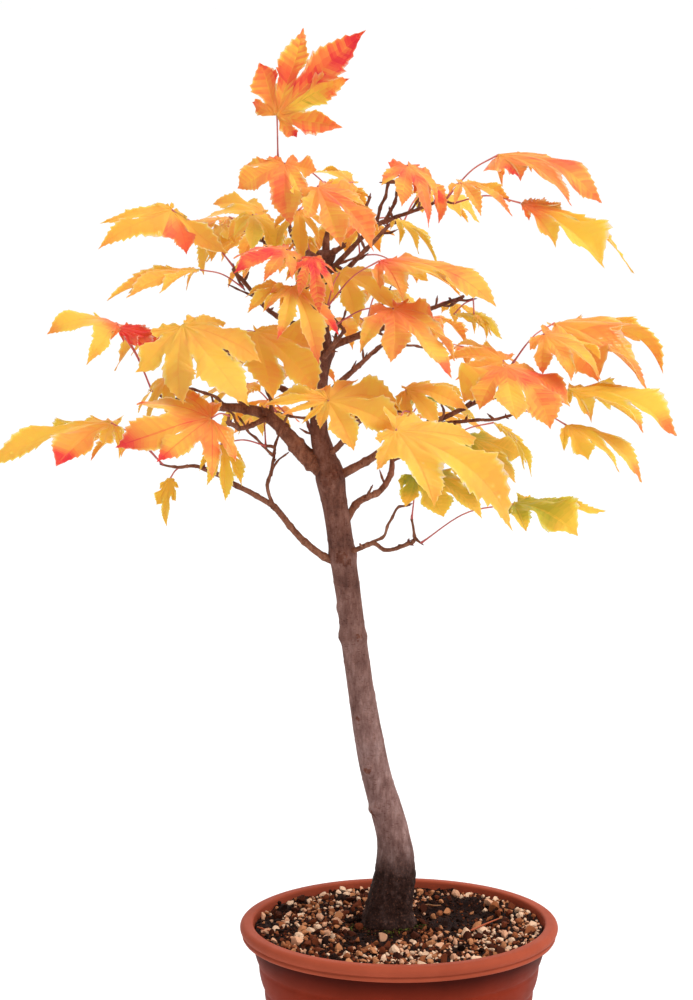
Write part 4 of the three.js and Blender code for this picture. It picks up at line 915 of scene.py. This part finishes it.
def grow_trunk(materials):
    path = spline([t[:3] for t in TRUNK], TRUNK_STEPS)
    path = np.vstack([path[0] - np.array([0, 0, TRUNK_SUNK]), path])
    limbs["trunk"] = path
    close = (path[-1, 2] - path[:, 2]) / 2.5
    radii = trunk_radius(path[:, 2]) * np.sqrt(np.clip(1 - np.clip(1 - close, 0, 1) ** 2, 0.02, 1))
    pile = Pile()
    pile.add(*tube(path, radii, TRUNK_SIDES, trunk_relief), [knot_faces(path, TRUNK_SIDES), 0])
    piece = pile.piece("trunk_bark", materials)
    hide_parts("trunk")


def noded(path, radii, gap, swell, seed):
    """A limb's path with a slight kink at each of its nodes, and its radii with swellings there."""
    run = run_of(path)
    phase = (run + gap * (0.3 + 0.4 * (seed % 7) / 7)) % gap
    near = np.exp(-((phase - gap / 2) / 1.3) ** 2)
    kink = np.stack([field(np.stack([run / gap, run * 0 + seed, run * 0 + k], -1), k) for k in range(3)], -1)
    ease = smooth(run / 12) * smooth((run[-1] - run) / 8)
    return path + kink * ease[:, None] * 0.9, radii * (1 + swell * near)


def bough_relief(rings, angle):
    return 0.12 * field(rings / 0.9, 7) + 0.16 * field(rings / 3.1, 8)


def stem_ends(mass):
    """Where a mass's stem leaves its limb, where it forks, and where its twigs end."""
    _, limb, _, _, sprays = mass
    path = limbs[limb]
    lead = path[-1] + unit(path[-1] - path[-3]) * STEM_LEAD
    ends = [np.array(at, float) for at, _ in sprays]
    centre = sum(ends) / len(ends)
    fork = centre if len(ends) == 1 else lead + 0.4 * (centre - lead)
    return lead, fork, ends


def bud(pile, place, way, length):
    """A small pointed bud."""
    share = np.linspace(0, 1, 6)
    path = place + np.outer(share, way) * length
    pile.add(*tube(path, 0.42 * length * np.sqrt(share + 0.08) * (1 - share) + 0.05, 6), BUD_TINT)


def grow_boughs(materials):
    """The boughs, each carried on as its mass's stem, with stubs and buds, and the bare twigs."""
    pile = Pile()
    for name, at, bends, _, parent in BOUGHS:
        root = limb_share(limbs[parent], at) if parent else trunk_place(at)
        limbs[name] = spline([root, *bends], 60)
    for number, (name, _, bends, (thick, thin), _) in enumerate(BOUGHS):
        lead, fork, _ = stem_ends(next(m for m in MASSES if m[1] == name))
        path = spline([limbs[name][0], *bends, lead, fork], 130)
        run = run_of(path)
        own = run_of(limbs[name])[-1]
        radii = np.interp(run, [0, own, run[-1]], [thick, thin, TWIG_RADIUS])
        radii = radii * (1 + 0.35 * np.exp(-run / (2.5 * thick)))
        path, radii = noded(path, radii, 13 + 4 * (number % 3), 0.2, number + 3)
        pile.add(*tube(path, radii, 16, bough_relief))
        draw = seeded(700 + number)
        for _ in range(STUBS):
            where = int(between(0.25, 0.95, draw()) * len(path))
            root = path[where]
            along = unit(root - path[where - 3])
            way = direction(360 * draw(), between(-20, 70, draw()))
            way = unit(way - 0.6 * along * (way @ along))
            stub = spline([root, root + way * 2, root + way * between(2.2, 3.6, draw())], 6)
            pile.add(*tube(stub, np.linspace(0.8, 0.65, 7), 8))
            bud(pile, stub[-1], way, between(1.4, 1.8, draw()))
        tip = path[np.searchsorted(run, own)]
        for _ in range(TIP_BUDS):
            way = direction(360 * draw(), between(-30, 80, draw()))
            bud(pile, tip, way, thin + between(1.6, 2.8, draw()))
    for number, (limb, at, bends, thick) in enumerate(BARE_TWIGS):
        path = spline([limb_share(limbs[limb], at), *bends], 30)
        path, radii = noded(path, np.linspace(thick, 0.75 * thick, 31), 7, 0.35, number)
        pile.add(*tube(path, radii, 8))
        bud(pile, path[-1], unit(path[-1] - path[-3]), 2.2)
    piece = pile.piece("bough_bark", materials)
    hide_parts(*[b[0] for b in BOUGHS])


# leaves

def leaf_plan(columns, tooth_share):
    """How a blade is meshed: vertex numbers by lobe, side, row and column, its faces, and its edge."""
    numbers = {}
    last = len(columns) - 1
    plan = {"index": {}, "columns": np.array(columns)}
    plan["teeth"] = [max(2, round(teeth * tooth_share)) for _, _, teeth in LOBES]
    cells = []
    edge = []

    def number(key):
        """Vertices are numbered as they are first met; 0 is where the stalk joins."""
        return numbers.setdefault(key, len(numbers) + 1)

    def vertex(lobe, side, row, rows, column):
        if row == 0:
            return 0
        if row == rows:
            return number(("tip", lobe))
        if column == 0:
            return number(("rib", lobe, row))
        if column == last and row <= INNER_ROWS:
            return number(("cut", lobe if side > 0 else lobe - 1, row))
        return number((lobe, side, row, column))

    for i, teeth in enumerate(plan["teeth"]):
        rows = INNER_ROWS + TOOTH_ROWS * teeth
        for side in (-1, 1):
            index = np.array([[vertex(i, side, row, rows, column) for column in range(last + 1)]
                              for row in range(rows + 1)])
            plan["index"][i, side] = index
            heel = (i == 0 and side < 0) or (i == len(LOBES) - 1 and side > 0)
            for row in range(rows):
                if row >= INNER_ROWS or heel:
                    edge.append((index[row, last], index[row + 1, last]))
                band = (row - INNER_ROWS) % TOOTH_ROWS if row >= INNER_ROWS else row % 2
                for column in range(last):
                    a, b = index[row, column:column + 2]
                    d, c = index[row + 1, column:column + 2]
                    ring = [a, d, c, b] if side > 0 else [a, b, c, d]
                    ring = [v for n, v in enumerate(ring) if v != ring[n - 1]]
                    cells.append((ring, i, column, band))
    count = len(numbers) + 1
    rim = set(v for pair in edge for v in pair)
    free = np.array([v for v in range(count) if v not in rim])
    under = np.arange(count)
    under[free] = count + np.arange(len(free))
    plan.update(count=count, free=free, under=under, edge=np.array(edge))
    for kind in (3, 4):
        own = [cell for cell in cells if len(cell[0]) == kind]
        for k, measure in enumerate(("faces", "lobe", "column", "band")):
            plan[measure, kind] = np.array([cell[k] for cell in own])
    return plan


def lobe_edge(teeth, reach, cut, broad, draw):
    """One edge of a lobe from the cut beside it to its tip: waist, shoulder, uneven teeth, long point."""
    share = []
    proud = []
    for k in range(teeth):
        peak = between(0.55, 0.75, draw())
        tall = between(0.3, 1.1, draw() ** 1.5)
        share += [(k + 0.5 * peak) / teeth, (k + peak) / teeth, (k + 1) / teeth]
        proud += [0.4 * tall, tall, 0.0]
    share = np.array(share) ** 0.9
    hump = (share / 0.35) ** 0.8 * ((1 - share) / 0.65) ** 1.5
    blend = smooth(share / 0.36)
    width = cut[1] * (1 - blend) + LOBE_WIDTH * broad * reach ** 0.8 * hump * blend
    tooth = TOOTH_HEIGHT * reach ** 0.6 * np.array(proud) * smooth(share / 0.3) * (1 - share) ** 0.7
    along = cut[0] + (reach - cut[0]) * share + 0.7 * tooth
    return share, along, width + tooth


def flat_leaf(plan, lobes, broad, draw):
    """The blade laid flat: for each vertex its place ahead and aside of the joint, how far it is from midrib
    to edge and from joint to tip, how it is pleated, how far it is aside of its midrib, and its lobe."""
    count = plan["count"]
    place = np.zeros((count, 2))
    across, far, pleat, aside = np.zeros((4, count))
    owner = np.zeros(count, int)
    columns = plan["columns"]
    inner = np.arange(INNER_ROWS + 1) / INNER_ROWS
    for i, (angle, reach, wide) in enumerate(lobes):
        sickle = 0.10 * (2 * draw() - 1)
        turn = math.radians(angle)
        teeth = plan["teeth"][i]
        fold = np.concatenate([np.where(np.arange(INNER_ROWS + 1) % 2 == 0, -0.4, 0.4),
                               np.tile([0.1, 1.0, -0.8], teeth)])
        fold[[0, -1]] = 0
        for side in (-1, 1):
            other = i + side
            if 0 <= other < len(lobes):
                cut_angle = (angle + lobes[other][0]) / 2
                cut_reach = SINUS_REACH * broad * between(0.9, 1.1, draw()) * (reach + lobes[other][1]) / 2
            else:
                cut_angle = angle + side * HEEL_ANGLE
                cut_reach = 0.5 * reach
            half = math.radians(abs(cut_angle - angle))
            cut = np.array([cut_reach * math.cos(half), cut_reach * math.sin(half)])
            share, along, width = lobe_edge(teeth, reach, cut, broad * wide, draw)
            rib_start = 0.62 * cut[0]
            rib = np.concatenate([inner * rib_start, rib_start + (reach - rib_start) * share ** 0.95])
            edge_along = np.concatenate([inner * cut[0], along])
            edge_aside = np.concatenate([inner * cut[1], width])
            s = rib[:, None] + (edge_along - rib)[:, None] * columns
            t = side * edge_aside[:, None] * columns
            t = t + sickle * reach * np.maximum(0, s / reach - 0.45) ** 2 * 3
            index = plan["index"][i, side]
            place[index, 0] = s * math.cos(turn) - t * math.sin(turn)
            place[index, 1] = s * math.sin(turn) + t * math.cos(turn)
            across[index] = np.broadcast_to(columns, index.shape)
            far[index] = np.concatenate([inner * 0.4, 0.4 + 0.6 * share])[:, None]
            aside[index] = t
            owner[index] = i
            pleat[index] = fold[:, None] * smooth(columns / 0.35) * (1 - 0.5 * columns)
    return place, across, far, pleat, aside, owner


def jittered(hand, draw):
    """Angle, reach and breadth of each lobe of one leaf."""
    lobes = []
    for i, (angle, reach, _) in enumerate(LOBES):
        turn, length, wide = hand.get(i, (0, 1, 1))
        angle = angle + 3 * (2 * draw() - 1) + turn
        lobes.append((angle, reach * (1 + 0.08 * (2 * draw() - 1)) * length, wide))
    return lobes


def leaf_frame(root, own):
    """A leaf's joint and its own directions, from the place on a twig that it grows on."""
    joint = root + own["stalk"] * direction(own["bearing"], own["rise"])
    chord = direction(own["heading"], own["pitch"])
    over = unit(np.array([0, 0, 1.0]) - chord * chord[2])
    aside = np.cross(chord, over)
    roll = math.radians(own["roll"])
    face = over * math.cos(roll) + aside * math.sin(roll)
    bend = own["cup"] / 2
    ahead = chord * math.cos(bend) + face * math.sin(bend)
    up = face * math.cos(bend) - chord * math.sin(bend)
    return joint, ahead, up, np.cross(up, ahead)


def bent_blade(flat, root, own, draw, seed):
    """A blade's joint, and the place and normal of each vertex once it is cupped, folded and waved."""
    joint, ahead, up, side = leaf_frame(root, own)
    place, across, far, pleat, aside, owner = flat
    blade = own["blade"]
    cup = own["cup"]
    reach = np.hypot(place[:, 0], place[:, 1])
    turn = np.arctan2(place[:, 1], place[:, 0]) * own["spread"]
    hang = cup * reach
    out = np.sin(hang) / cup * blade
    drop = (1 - np.cos(hang)) / cup * blade
    radial = np.cos(turn)[:, None] * ahead + np.sin(turn)[:, None] * side
    points = joint - drop[:, None] * up + out[:, None] * radial
    normal = np.cos(hang)[:, None] * up + np.sin(hang)[:, None] * radial
    free = smooth((far - 0.36) / 0.3)
    droop = np.array([between(-0.06, 0.16, draw()) for _ in LOBES])[owner]
    twist = np.array([between(-0.7, 0.7, draw()) for _ in LOBES])[owner]
    fold = between(0.15, 0.5, draw())
    wave = between(0.006, 0.018, draw())
    phase = 6.3 * draw()
    ribbed = between(0.002, 0.006, draw())
    tent = own["tent"] * np.sin(turn) ** 2 * reach
    lift = fold * np.abs(aside) * smooth(far / 0.4) + twist * aside * free
    lift = lift - droop * np.maximum(0, far - 0.4) ** 2 * 2.7
    lift = lift + wave * across ** 2 * np.sin(16 * far + 5 * turn + phase)
    lift = lift + ribbed * pleat * (1 - 0.6 * far)
    lift = lift + 0.03 * far * field(points / 22, seed) - tent
    return joint, points + normal * (lift * blade)[:, None], normal


def blade_ripeness(plan, flat, points, own, draw, seed):
    """How ripe each face of a blade is, first for its triangles and then for the rest."""
    place, across, far = flat[:3]
    reach = np.hypot(place[:, 0], place[:, 1])
    core, body, tip, margin, vein, vary, blotch = LOOKS[own["look"]]
    warm = body + (core - body) * smooth(1 - reach / 0.5) + (tip - body) * smooth((far - 0.6) / 0.4)
    warm = warm + margin * across ** 2 * smooth(reach / 0.4)
    spot = np.stack([place[:, 0], place[:, 1], 0 * reach], -1)
    warm = warm + vary * (field(spot * 4.5 + 9, seed + 1) + 0.5 * field(spot * 10, seed + 2))
    stain = field(spot * 3.5 + 5, seed + 4) + 0.6 * field(spot * 9 + 2, seed + 5)
    warm = warm + blotch * smooth((stain - 0.25) / 0.5)
    own_lobe = np.array([own["lobes"].get(i, 0) + 0.05 * (2 * draw() - 1) for i in range(len(LOBES))])
    own_tip = np.array([own["tips"].get(i, 0) for i in range(len(LOBES))])
    heats = []
    for kind in (3, 4):
        faces = plan["faces", kind]
        lobe = plan["lobe", kind]
        middle = points[faces].mean(1)
        out_to = reach[faces].mean(1)
        heat = warm[faces].mean(1) + own_lobe[lobe] * smooth(out_to / 0.35)
        heat = heat + own_tip[lobe] * smooth((far[faces].mean(1) - 0.72) / 0.2)
        grit = field(middle * 3.7, seed + 3)
        mottle = 4 * vary ** 2 * (0.7 + 1.1 * field(middle / 5, seed + 6))
        band = np.array([-1.0, 1.0, 0.0])[plan["band", kind]] * smooth(out_to / 0.3)
        heats.append(heat + np.where(plan["column", kind] == 0, vein, 0) + 0.02 * grit + mottle * band)
    return heats


def grow_stalk(pile, root, joint):
    middle = (root + joint) / 2
    middle[2] += STALK_ARCH * np.linalg.norm(joint - root)
    path = spline([root, middle, joint], 14)
    share = np.linspace(0, 1, 15)
    radii = STALK_RADIUS * (1 + 0.9 * np.exp(-share * 14) + 0.35 * np.exp(-(1 - share) * 12))
    tint = np.repeat((share[:-1] > 0.45).astype(int), 6)
    pile.add(*tube(path, radii, 6), [tint, 0])


def grow_leaf(pile, stalks, plan, root, own, seed):
    """A leaf's blade, tinted face by face and a little duller below, and the stalk that runs to its joint."""
    draw = seeded(seed)
    lobes = jittered(own["hand"], draw)
    flat = flat_leaf(plan, lobes, own["broad"], draw)
    joint, points, normal = bent_blade(flat, root, own, draw, seed)
    heats = blade_ripeness(plan, flat, points, own, draw, seed)
    under = points[plan["free"]] - normal[plan["free"]] * LEAF_THICKNESS
    above = [plan["faces", kind] for kind in (3, 4)]
    below = [plan["under"][faces][:, ::-1] for faces in above]
    tints = [tint_of(heat) for heat in heats] + [tint_of(0.85 * heat - 0.02) for heat in heats]
    pile.add(np.vstack([points, under]), above + below, tints, plan["edge"])
    grow_stalk(stalks, root, joint)


def grow_finer(piles, twigs, stalks, plan):
    """Short side twigs along the boughs, some with one or two small leaves."""
    for name, limb, seed, _, _ in MASSES:
        if limb not in FINER:
            continue
        path = limbs[limb]
        draw = seeded(9000 + seed)
        count, leafy = FINER[limb]
        for k in range(count):
            where = int(between(0.3, 0.95, (k + draw()) / count) * (len(path) - 1))
            root = path[where]
            ahead = unit(root - path[max(0, where - 2)])
            bearing = math.degrees(math.atan2(ahead[1], ahead[0]))
            bearing = bearing + (1 if k % 2 else -1) * between(40, 100, draw())
            length = between(5, 11, draw())
            end = root + length * direction(bearing, between(5, 60, draw()))
            twig = spline([root, root + 0.5 * (end - root) + (0, 0, -0.6), end], 16)
            twig, radii = noded(twig, np.linspace(0.75, 0.5, len(twig)), 5, 0.35, seed + k)
            twigs.add(*tube(twig, radii, 7))
            bud(twigs, twig[-1], unit(twig[-1] - twig[-3]), 1.8)
            for j in range(1 + int(draw() < 0.5) if k < leafy else 0):
                own = leaf(
                    FINER_LOOKS[int(draw() * len(FINER_LOOKS))],
                    bearing + between(-70, 70, draw()), between(-10, 45, draw()), between(10, 20, draw()),
                    pitch=between(-60, -20, draw()), roll=between(-30, 30, draw()),
                    blade=between(20, 34, draw()), cup=between(0.6, 1.2, draw()),
                    spread=between(0.7, 1.0, draw()), broad=between(0.9, 1.25, draw()),
                )
                pile = piles[HOMES[name]]
                grow_leaf(pile, stalks, plan, twig[-1], own, 50000 + 100 * seed + 10 * k + j)


def grow_masses(tints, twig_materials, stalk_materials):
    """Each mass's twigs, the leaves at their ends, and the fillers along them."""
    plan = leaf_plan(COLUMNS, 1.0)
    twigs = Pile()
    stalks = Pile()
    piles = {piece: Pile() for piece in LEAF_PIECES}
    for mass in MASSES:
        name, limb, seed, fill, sprays = mass
        pile = piles[HOMES[name]]
        lead, fork, ends = stem_ends(mass)
        start = fork + 0.1 * (lead - fork)
        paths = []
        if limb == "trunk":
            stem = spline([limbs[limb][-4], lead, fork], 24)
            twigs.add(*tube(stem, np.linspace(TRUNK_TIP * 0.8, TWIG_RADIUS, 25), 10, bough_relief))
        for k, ((_, leaves), end) in enumerate(zip(sprays, ends)):
            knee = (fork + end) / 2
            knee[2] -= 0.06 * np.linalg.norm(end - fork)
            bends = [start, knee, end] if len(ends) > 1 else [lead, (lead + end) / 2, end]
            path = spline(bends, 36)
            path, radii = noded(path, np.linspace(TWIG_RADIUS, 0.6, len(path)), 9 + k, 0.4, seed + k)
            path[-1] = end
            twigs.add(*tube(path, radii, 8))
            paths.append(path)
            bud(twigs, end, unit(path[-1] - path[-4]), 2.4)
            for j, own in enumerate(leaves):
                grow_leaf(pile, stalks, plan, end, own, 1000 * seed + 10 * k + j)
        draw = seeded(seed)
        for k in range(fill * len(paths)):
            root = limb_share(paths[k % len(paths)], between(0.3, 0.8, draw()))
            outward = math.degrees(math.atan2(root[1] - CROWN_MIDDLE[1], root[0] - CROWN_MIDDLE[0]))
            turn = 1 if k % 2 == 0 else -1
            own = leaf(
                "gold",
                outward + turn * between(30, 80, draw()), between(5, 50, draw()), between(14, 24, draw()),
                pitch=between(-45, -15, draw()), blade=between(30, 42, draw()),
            )
            grow_leaf(pile, stalks, plan, root, own, 1000 * seed + 500 + k)
    grow_finer(piles, twigs, stalks, leaf_plan(SMALL_COLUMNS, 0.6))
    for name, pile in piles.items():
        piece = pile.piece(name, tints)
        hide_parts(*LEAF_PIECES[name])
    twigs.piece("twigs", twig_materials)
    stalks.piece("leaf_stalks", stalk_materials)


# pot and soil

def wall_radius(z):
    down = 1 - np.minimum(z, WALL_TOP) / WALL_TOP
    return NECK_RADIUS - (NECK_RADIUS - BASE_RADIUS) * (1 - (1 - down) ** WALL_CURVE)


def make_pot():
    """The pot turned from its profile: underside, ribbed wall, rim with groove and roll, and the inside."""
    profile = [(BASE_RADIUS - 2.5, 0), (BASE_RADIUS - 0.8, 0.7), (BASE_RADIUS, 2.2)]
    foot = WALL_TOP - RIB_COUNT * RIB_PITCH
    for i in range(RIB_COUNT):
        for share in np.linspace(0, 1, 13)[:-1]:
            z = foot + (i + share) * RIB_PITCH
            round_rib = math.sin(math.pi * share) ** 0.55
            profile.append((wall_radius(z) + RIB_BULGE * (round_rib - 0.15), z))
    profile += [(NECK_RADIUS + 0.1, WALL_TOP - 0.6), (NECK_RADIUS + 0.8, WALL_TOP)]
    lower = RIM_RADIUS - 1.3
    groove = WALL_TOP + RIM_BAND
    profile += [(lower - 1.6, WALL_TOP + 0.1), (lower - 0.5, WALL_TOP + 0.5), (lower, WALL_TOP + 1.3)]
    profile += [(lower + 0.1, groove - 0.5), (lower - 0.7, groove), (lower - 0.2, groove + 0.5)]
    middle = RIM_RADIUS - RIM_ROLL
    for a in np.radians(np.linspace(-40, 90, 14)):
        profile.append((middle + RIM_ROLL * math.cos(a), POT_HEIGHT - RIM_ROLL + RIM_ROLL * math.sin(a)))
    inner = MOUTH_RADIUS + LIP_ROLL
    for a in np.radians(np.linspace(0, 90, 8)):
        profile.append((inner - LIP_ROLL * math.sin(a), POT_HEIGHT - LIP_ROLL + LIP_ROLL * math.cos(a)))
    profile += [(MOUTH_RADIUS - 0.8, POT_HEIGHT - 6), (MOUTH_RADIUS - 1.5, WALL_TOP)]
    profile += [(wall_radius(z) - WALL, z) for z in (WALL_TOP / 2, FLOOR)]
    pile = Pile()
    pile.add(*capped(hoops(*zip(*profile), POT_SIDES), (0, 0, 0), (0, 0, FLOOR)))
    piece = pile.piece("pot_shell", [pot_material()])
    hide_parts("pot")


def patch_share(x, y, patch):
    """1 at the middle of an oval patch, 0 outside it."""
    (middle_x, middle_y), (half_x, half_y) = patch
    far = np.hypot((x - middle_x) / half_x, (y - middle_y) / half_y)
    return smooth((1.15 - far) / 0.45)


def soil_height(x, y):
    """The ground under the grit: level round the trunk, heaped towards the rim, hollow on one side."""
    rise = smooth((np.hypot(x, y) - SOIL_LEVEL_RADIUS) / (SOIL_RADIUS - SOIL_LEVEL_RADIUS))
    foot = np.hypot(x - FOOT[0], y - FOOT[1])
    bare = patch_share(x, y, HOLLOW)
    turn = 2 * np.pi / HEAP_PITCH
    heap = HEAP_HEIGHT * np.sin(turn * (x + 0.4 * y)) * np.sin(turn * (y - 0.4 * x))
    heap = heap * (1 - bare) * smooth((foot - HEAP_CLEAR) / 12)
    z = SOIL_TOP + (SOIL_EDGE - SOIL_TOP) * rise + heap
    z = z - HOLLOW_DEPTH * bare * smooth((foot - FOOT_RADIUS - 2) / 12)
    place = np.stack([x, y, 0 * x], -1)
    crumbs = 0.5 * field(place / 7, 21) + 0.55 * field(place / 2.3, 22) + 0.3 * field(place / 1.0, 23)
    return z - 1.0 + crumbs


def make_soil():
    top = hoops(np.linspace(0.6, SOIL_RADIUS, SOIL_RINGS), np.zeros(SOIL_RINGS), SOIL_SIDES)
    top[..., 2] = soil_height(top[..., 0], top[..., 1])
    heights = [FLOOR + 0.3, WALL_TOP / 2, WALL_TOP]
    radii = [wall_radius(FLOOR) - WALL - 0.3, wall_radius(WALL_TOP / 2) - WALL - 0.3, SOIL_RADIUS - 0.6]
    rings = np.concatenate([hoops(radii, heights, SOIL_SIDES), top[::-1]])
    pile = Pile()
    pile.add(*capped(rings, (0, 0, heights[0]), (0, 0, top[0, :, 2].mean())))
    piece = pile.piece("soil_bed", [soil_material()])
    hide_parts("soil")


def grain_shapes(fineness, count, seed):
    """Chips of stone or bark: balls cut flat by many planes, then drawn out."""
    ball = bmesh.new()
    bmesh.ops.create_icosphere(ball, subdivisions=fineness, radius=1.0)
    points = np.array([v.co for v in ball.verts])
    faces = np.array([[v.index for v in f.verts] for f in ball.faces])
    ball.free()
    draw = np.random.default_rng(seed)
    shapes = []
    for _ in range(count):
        shape = points.copy()
        for _ in range(CHIP_CUTS):
            way = unit(draw.normal(size=3))
            shape -= np.outer(np.maximum(0, shape @ way - draw.uniform(0.38, 0.8)), way)
        shape *= draw.uniform(0.8, 1.5, size=3)
        shapes.append(shape * (1 + 0.10 * field(shape * 2.1, seed)[:, None]))
    return shapes, faces


def bareness(x, y):
    """1 where the earth shows bare, 0 under the grit."""
    return max(float(patch_share(x, y, patch)) for patch in BARE)


def on_soil(draw, half):
    """A place drawn evenly from the soil's surface."""
    far = (SOIL_RADIUS - half) * math.sqrt(draw.uniform())
    turn = 2 * math.pi * draw.uniform()
    return far * math.cos(turn), far * math.sin(turn)


def chip(pile, draw, kinds, x, y, half, sunk, tint):
    """One grain, turned at random; sunk is its middle's depth below the surface as a share of its size."""
    shapes, faces = kinds
    spin, _ = np.linalg.qr(draw.normal(size=(3, 3)))
    z = float(soil_height(np.array(x), np.array(y))) - half * sunk
    shape = shapes[draw.integers(len(shapes))]
    pile.add(shape @ spin.T * half + np.array([x, y, z]), [faces], tint)


def make_gravel():
    draw = np.random.default_rng(5)
    kinds = grain_shapes(2, 16, 6)
    placed = np.zeros((0, 3))
    pile = Pile()
    shares = np.cumsum([share for _, _, share in GRAIN_COLOURS])
    for _ in range(GRAIN_TRIES):
        half = between(*GRAIN_SIZES, draw.uniform() ** 1.5)
        x, y = on_soil(draw, 1.1 * half)
        bare = bareness(x, y)
        chance = draw.uniform()
        if chance < 0.985 * bare:
            continue
        gaps = np.hypot(placed[:, 0] - x, placed[:, 1] - y) - 0.82 * (placed[:, 2] + half)
        if np.any(gaps < 0) or math.hypot(x - FOOT[0], y - FOOT[1]) < FOOT_RADIUS + half:
            continue
        placed = np.vstack([placed, [x, y, half]])
        earthy = 0.22 * float(field(np.array([x / 13, y / 13, 3.0]), 31))
        earthy = earthy - PALER * float(smooth((x - 10) / 50) + smooth((y - 10) / 50)) + 0.3 * bare
        tone = np.clip(draw.uniform() + earthy, 0, 0.999) * shares[-1]
        sunk = between(-0.6, 0.1, draw.uniform())
        chip(pile, draw, kinds, x, y, half, sunk, int(np.searchsorted(shares, tone)))
    materials = [plain(name, colour, 0.9, 0.1) for name, colour, _ in GRAIN_COLOURS]
    pile.piece("pumice_grains", materials, False)


def make_litter():
    """Crumbs between the grains and on the bare earth, tufts of moss by the trunk, and a few straws."""
    draw = np.random.default_rng(8)
    kinds = grain_shapes(1, 10, 9)
    crumbs = Pile()
    for _ in range(CRUMB_COUNT):
        half = between(*CRUMB_SIZES, draw.uniform())
        x, y = on_soil(draw, half)
        chip(crumbs, draw, kinds, x, y, half, -0.1, int(3 * draw.uniform() ** 1.6))
    for _ in range(FOOT_CRUMBS):
        turn = 2 * math.pi * draw.uniform()
        far = FOOT_RADIUS + between(-2, 9, draw.uniform() ** 1.6)
        half = between(*FOOT_CRUMB_SIZES, draw.uniform())
        x = FOOT[0] + far * math.cos(turn)
        y = FOOT[1] + far * math.sin(turn)
        chip(crumbs, draw, kinds, x, y, half, -0.3, int(2 * draw.uniform()))
    for middle, wide, tufts in MOSS:
        for _ in range(tufts):
            x, y = np.array(middle) + wide * 0.5 * draw.normal(size=2)
            half = between(*TUFT_SIZES, draw.uniform())
            chip(crumbs, draw, kinds, x, y, half, -0.8, len(CRUMB_COLOURS) + int(draw.uniform() < 0.4))
    materials = [plain(name, colour, 0.95, 0.08) for name, colour in CRUMB_COLOURS + MOSS_COLOURS]
    crumbs.piece("soil_crumbs", materials, False)
    straws = Pile()
    for places, half, look in STRAWS:
        straws.add(*tube(spline(places, 20), np.linspace(half, 0.6 * half, 21), 8), look)
    straws.piece("straws", [plain(name, colour, 0.7, 0.2) for name, colour in STRAW_COLOURS])


# stage

def make_floor():
    mesh = bpy.data.meshes.new("floor")
    corners = [(-1, -1), (1, -1), (1, 1), (-1, 1)]
    mesh.from_pydata([(x * FLOOR_HALF, y * FLOOR_HALF, 0) for x, y in corners], [], [(0, 1, 2, 3)])
    mesh.materials.append(plain("floor_pale", (252, 252, 252), 0.9, 0.1))
    floor = linked("floor", mesh)


def make_sky():
    world = bpy.data.worlds.new("studio")
    bpy.context.scene.world = world
    world.use_nodes = True
    nodes = Nodes(world.node_tree, "Generated")
    left, front = [
        nodes.span(nodes.part(axis), SKY_SIDES, (least, SKY_STRENGTH), interpolation_type="SMOOTHSTEP")
        for axis, least in (("X", SKY_LEFT), ("Y", SKY_FRONT))]
    raised = nodes.span(nodes.part("Z"), SKY_RISE)
    dimmed = nodes.math("MULTIPLY", left, front)
    strength = nodes.add("Mix", "Result", {"Factor": raised, "A": SKY_STRENGTH, "B": dimmed})
    sky = world.node_tree.nodes["Background"]
    sky.inputs["Color"].default_value = (1.0, 1.0, 1.0, 1.0)
    nodes.feed(sky.inputs["Strength"], strength)


def make_lights():
    for name, place, aim, size, power in LAMPS:
        light = bpy.data.lights.new(name, "AREA")
        light.shape = "DISK"
        light.size = size * MM
        light.energy = power
        thing = linked(name, light)
        thing.location = np.array(place) * MM
        way = np.array(aim, float) - np.array(place, float)
        yaw = math.atan2(way[1], way[0])
        pitch = math.atan2(way[2], math.hypot(way[0], way[1]))
        thing.rotation_euler = (math.pi / 2 + pitch, 0, yaw - math.pi / 2)
    sun = bpy.data.lights.new("day_light", "SUN")
    sun.energy = SUN_STRENGTH
    sun.angle = math.radians(SUN_WIDTH)
    linked("day_light", sun).rotation_euler = np.radians(SUN_TILT)


def make_camera():
    camera = bpy.data.cameras.new("camera")
    camera.sensor_fit = "VERTICAL"
    camera.sensor_height = PICTURE_HEIGHT
    camera.lens = CAMERA_LENS
    camera.clip_end = 3000
    thing = linked("camera", camera)
    thing.location = np.array(CAMERA_PLACE) * MM
    thing.rotation_euler = (math.radians(90 - CAMERA_DOWN), 0, 0)
    bpy.context.scene.camera = thing
    bpy.context.scene.view_settings.view_transform = "Standard"


make_floor()
make_sky()
make_lights()
make_camera()
make_pot()
make_soil()
make_gravel()
make_litter()
trunk_bark = bark_material("trunk_bark", TRUNK_STAIN, TRUNK_RUDDY, *TRUNK_COLOURS)
knot_bark = bark_material("knot_bark", NO_STAIN, TRUNK_RUDDY, *KNOT_COLOURS)
bough_bark = bark_material("bough_bark", NO_STAIN, BOUGH_RUDDY, *BOUGH_COLOURS)
bud_skin = plain("bud_skin", (112, 52, 48), 0.6, 0.3)
grow_trunk([trunk_bark, knot_bark])
grow_boughs([bough_bark, bud_skin])
stalk_tints = [plain(name, colour, 0.5, 0.35) for name, colour in STALK_COLOURS]
grow_masses(ripe_tints(), [bough_bark, bud_skin], stalk_tints)
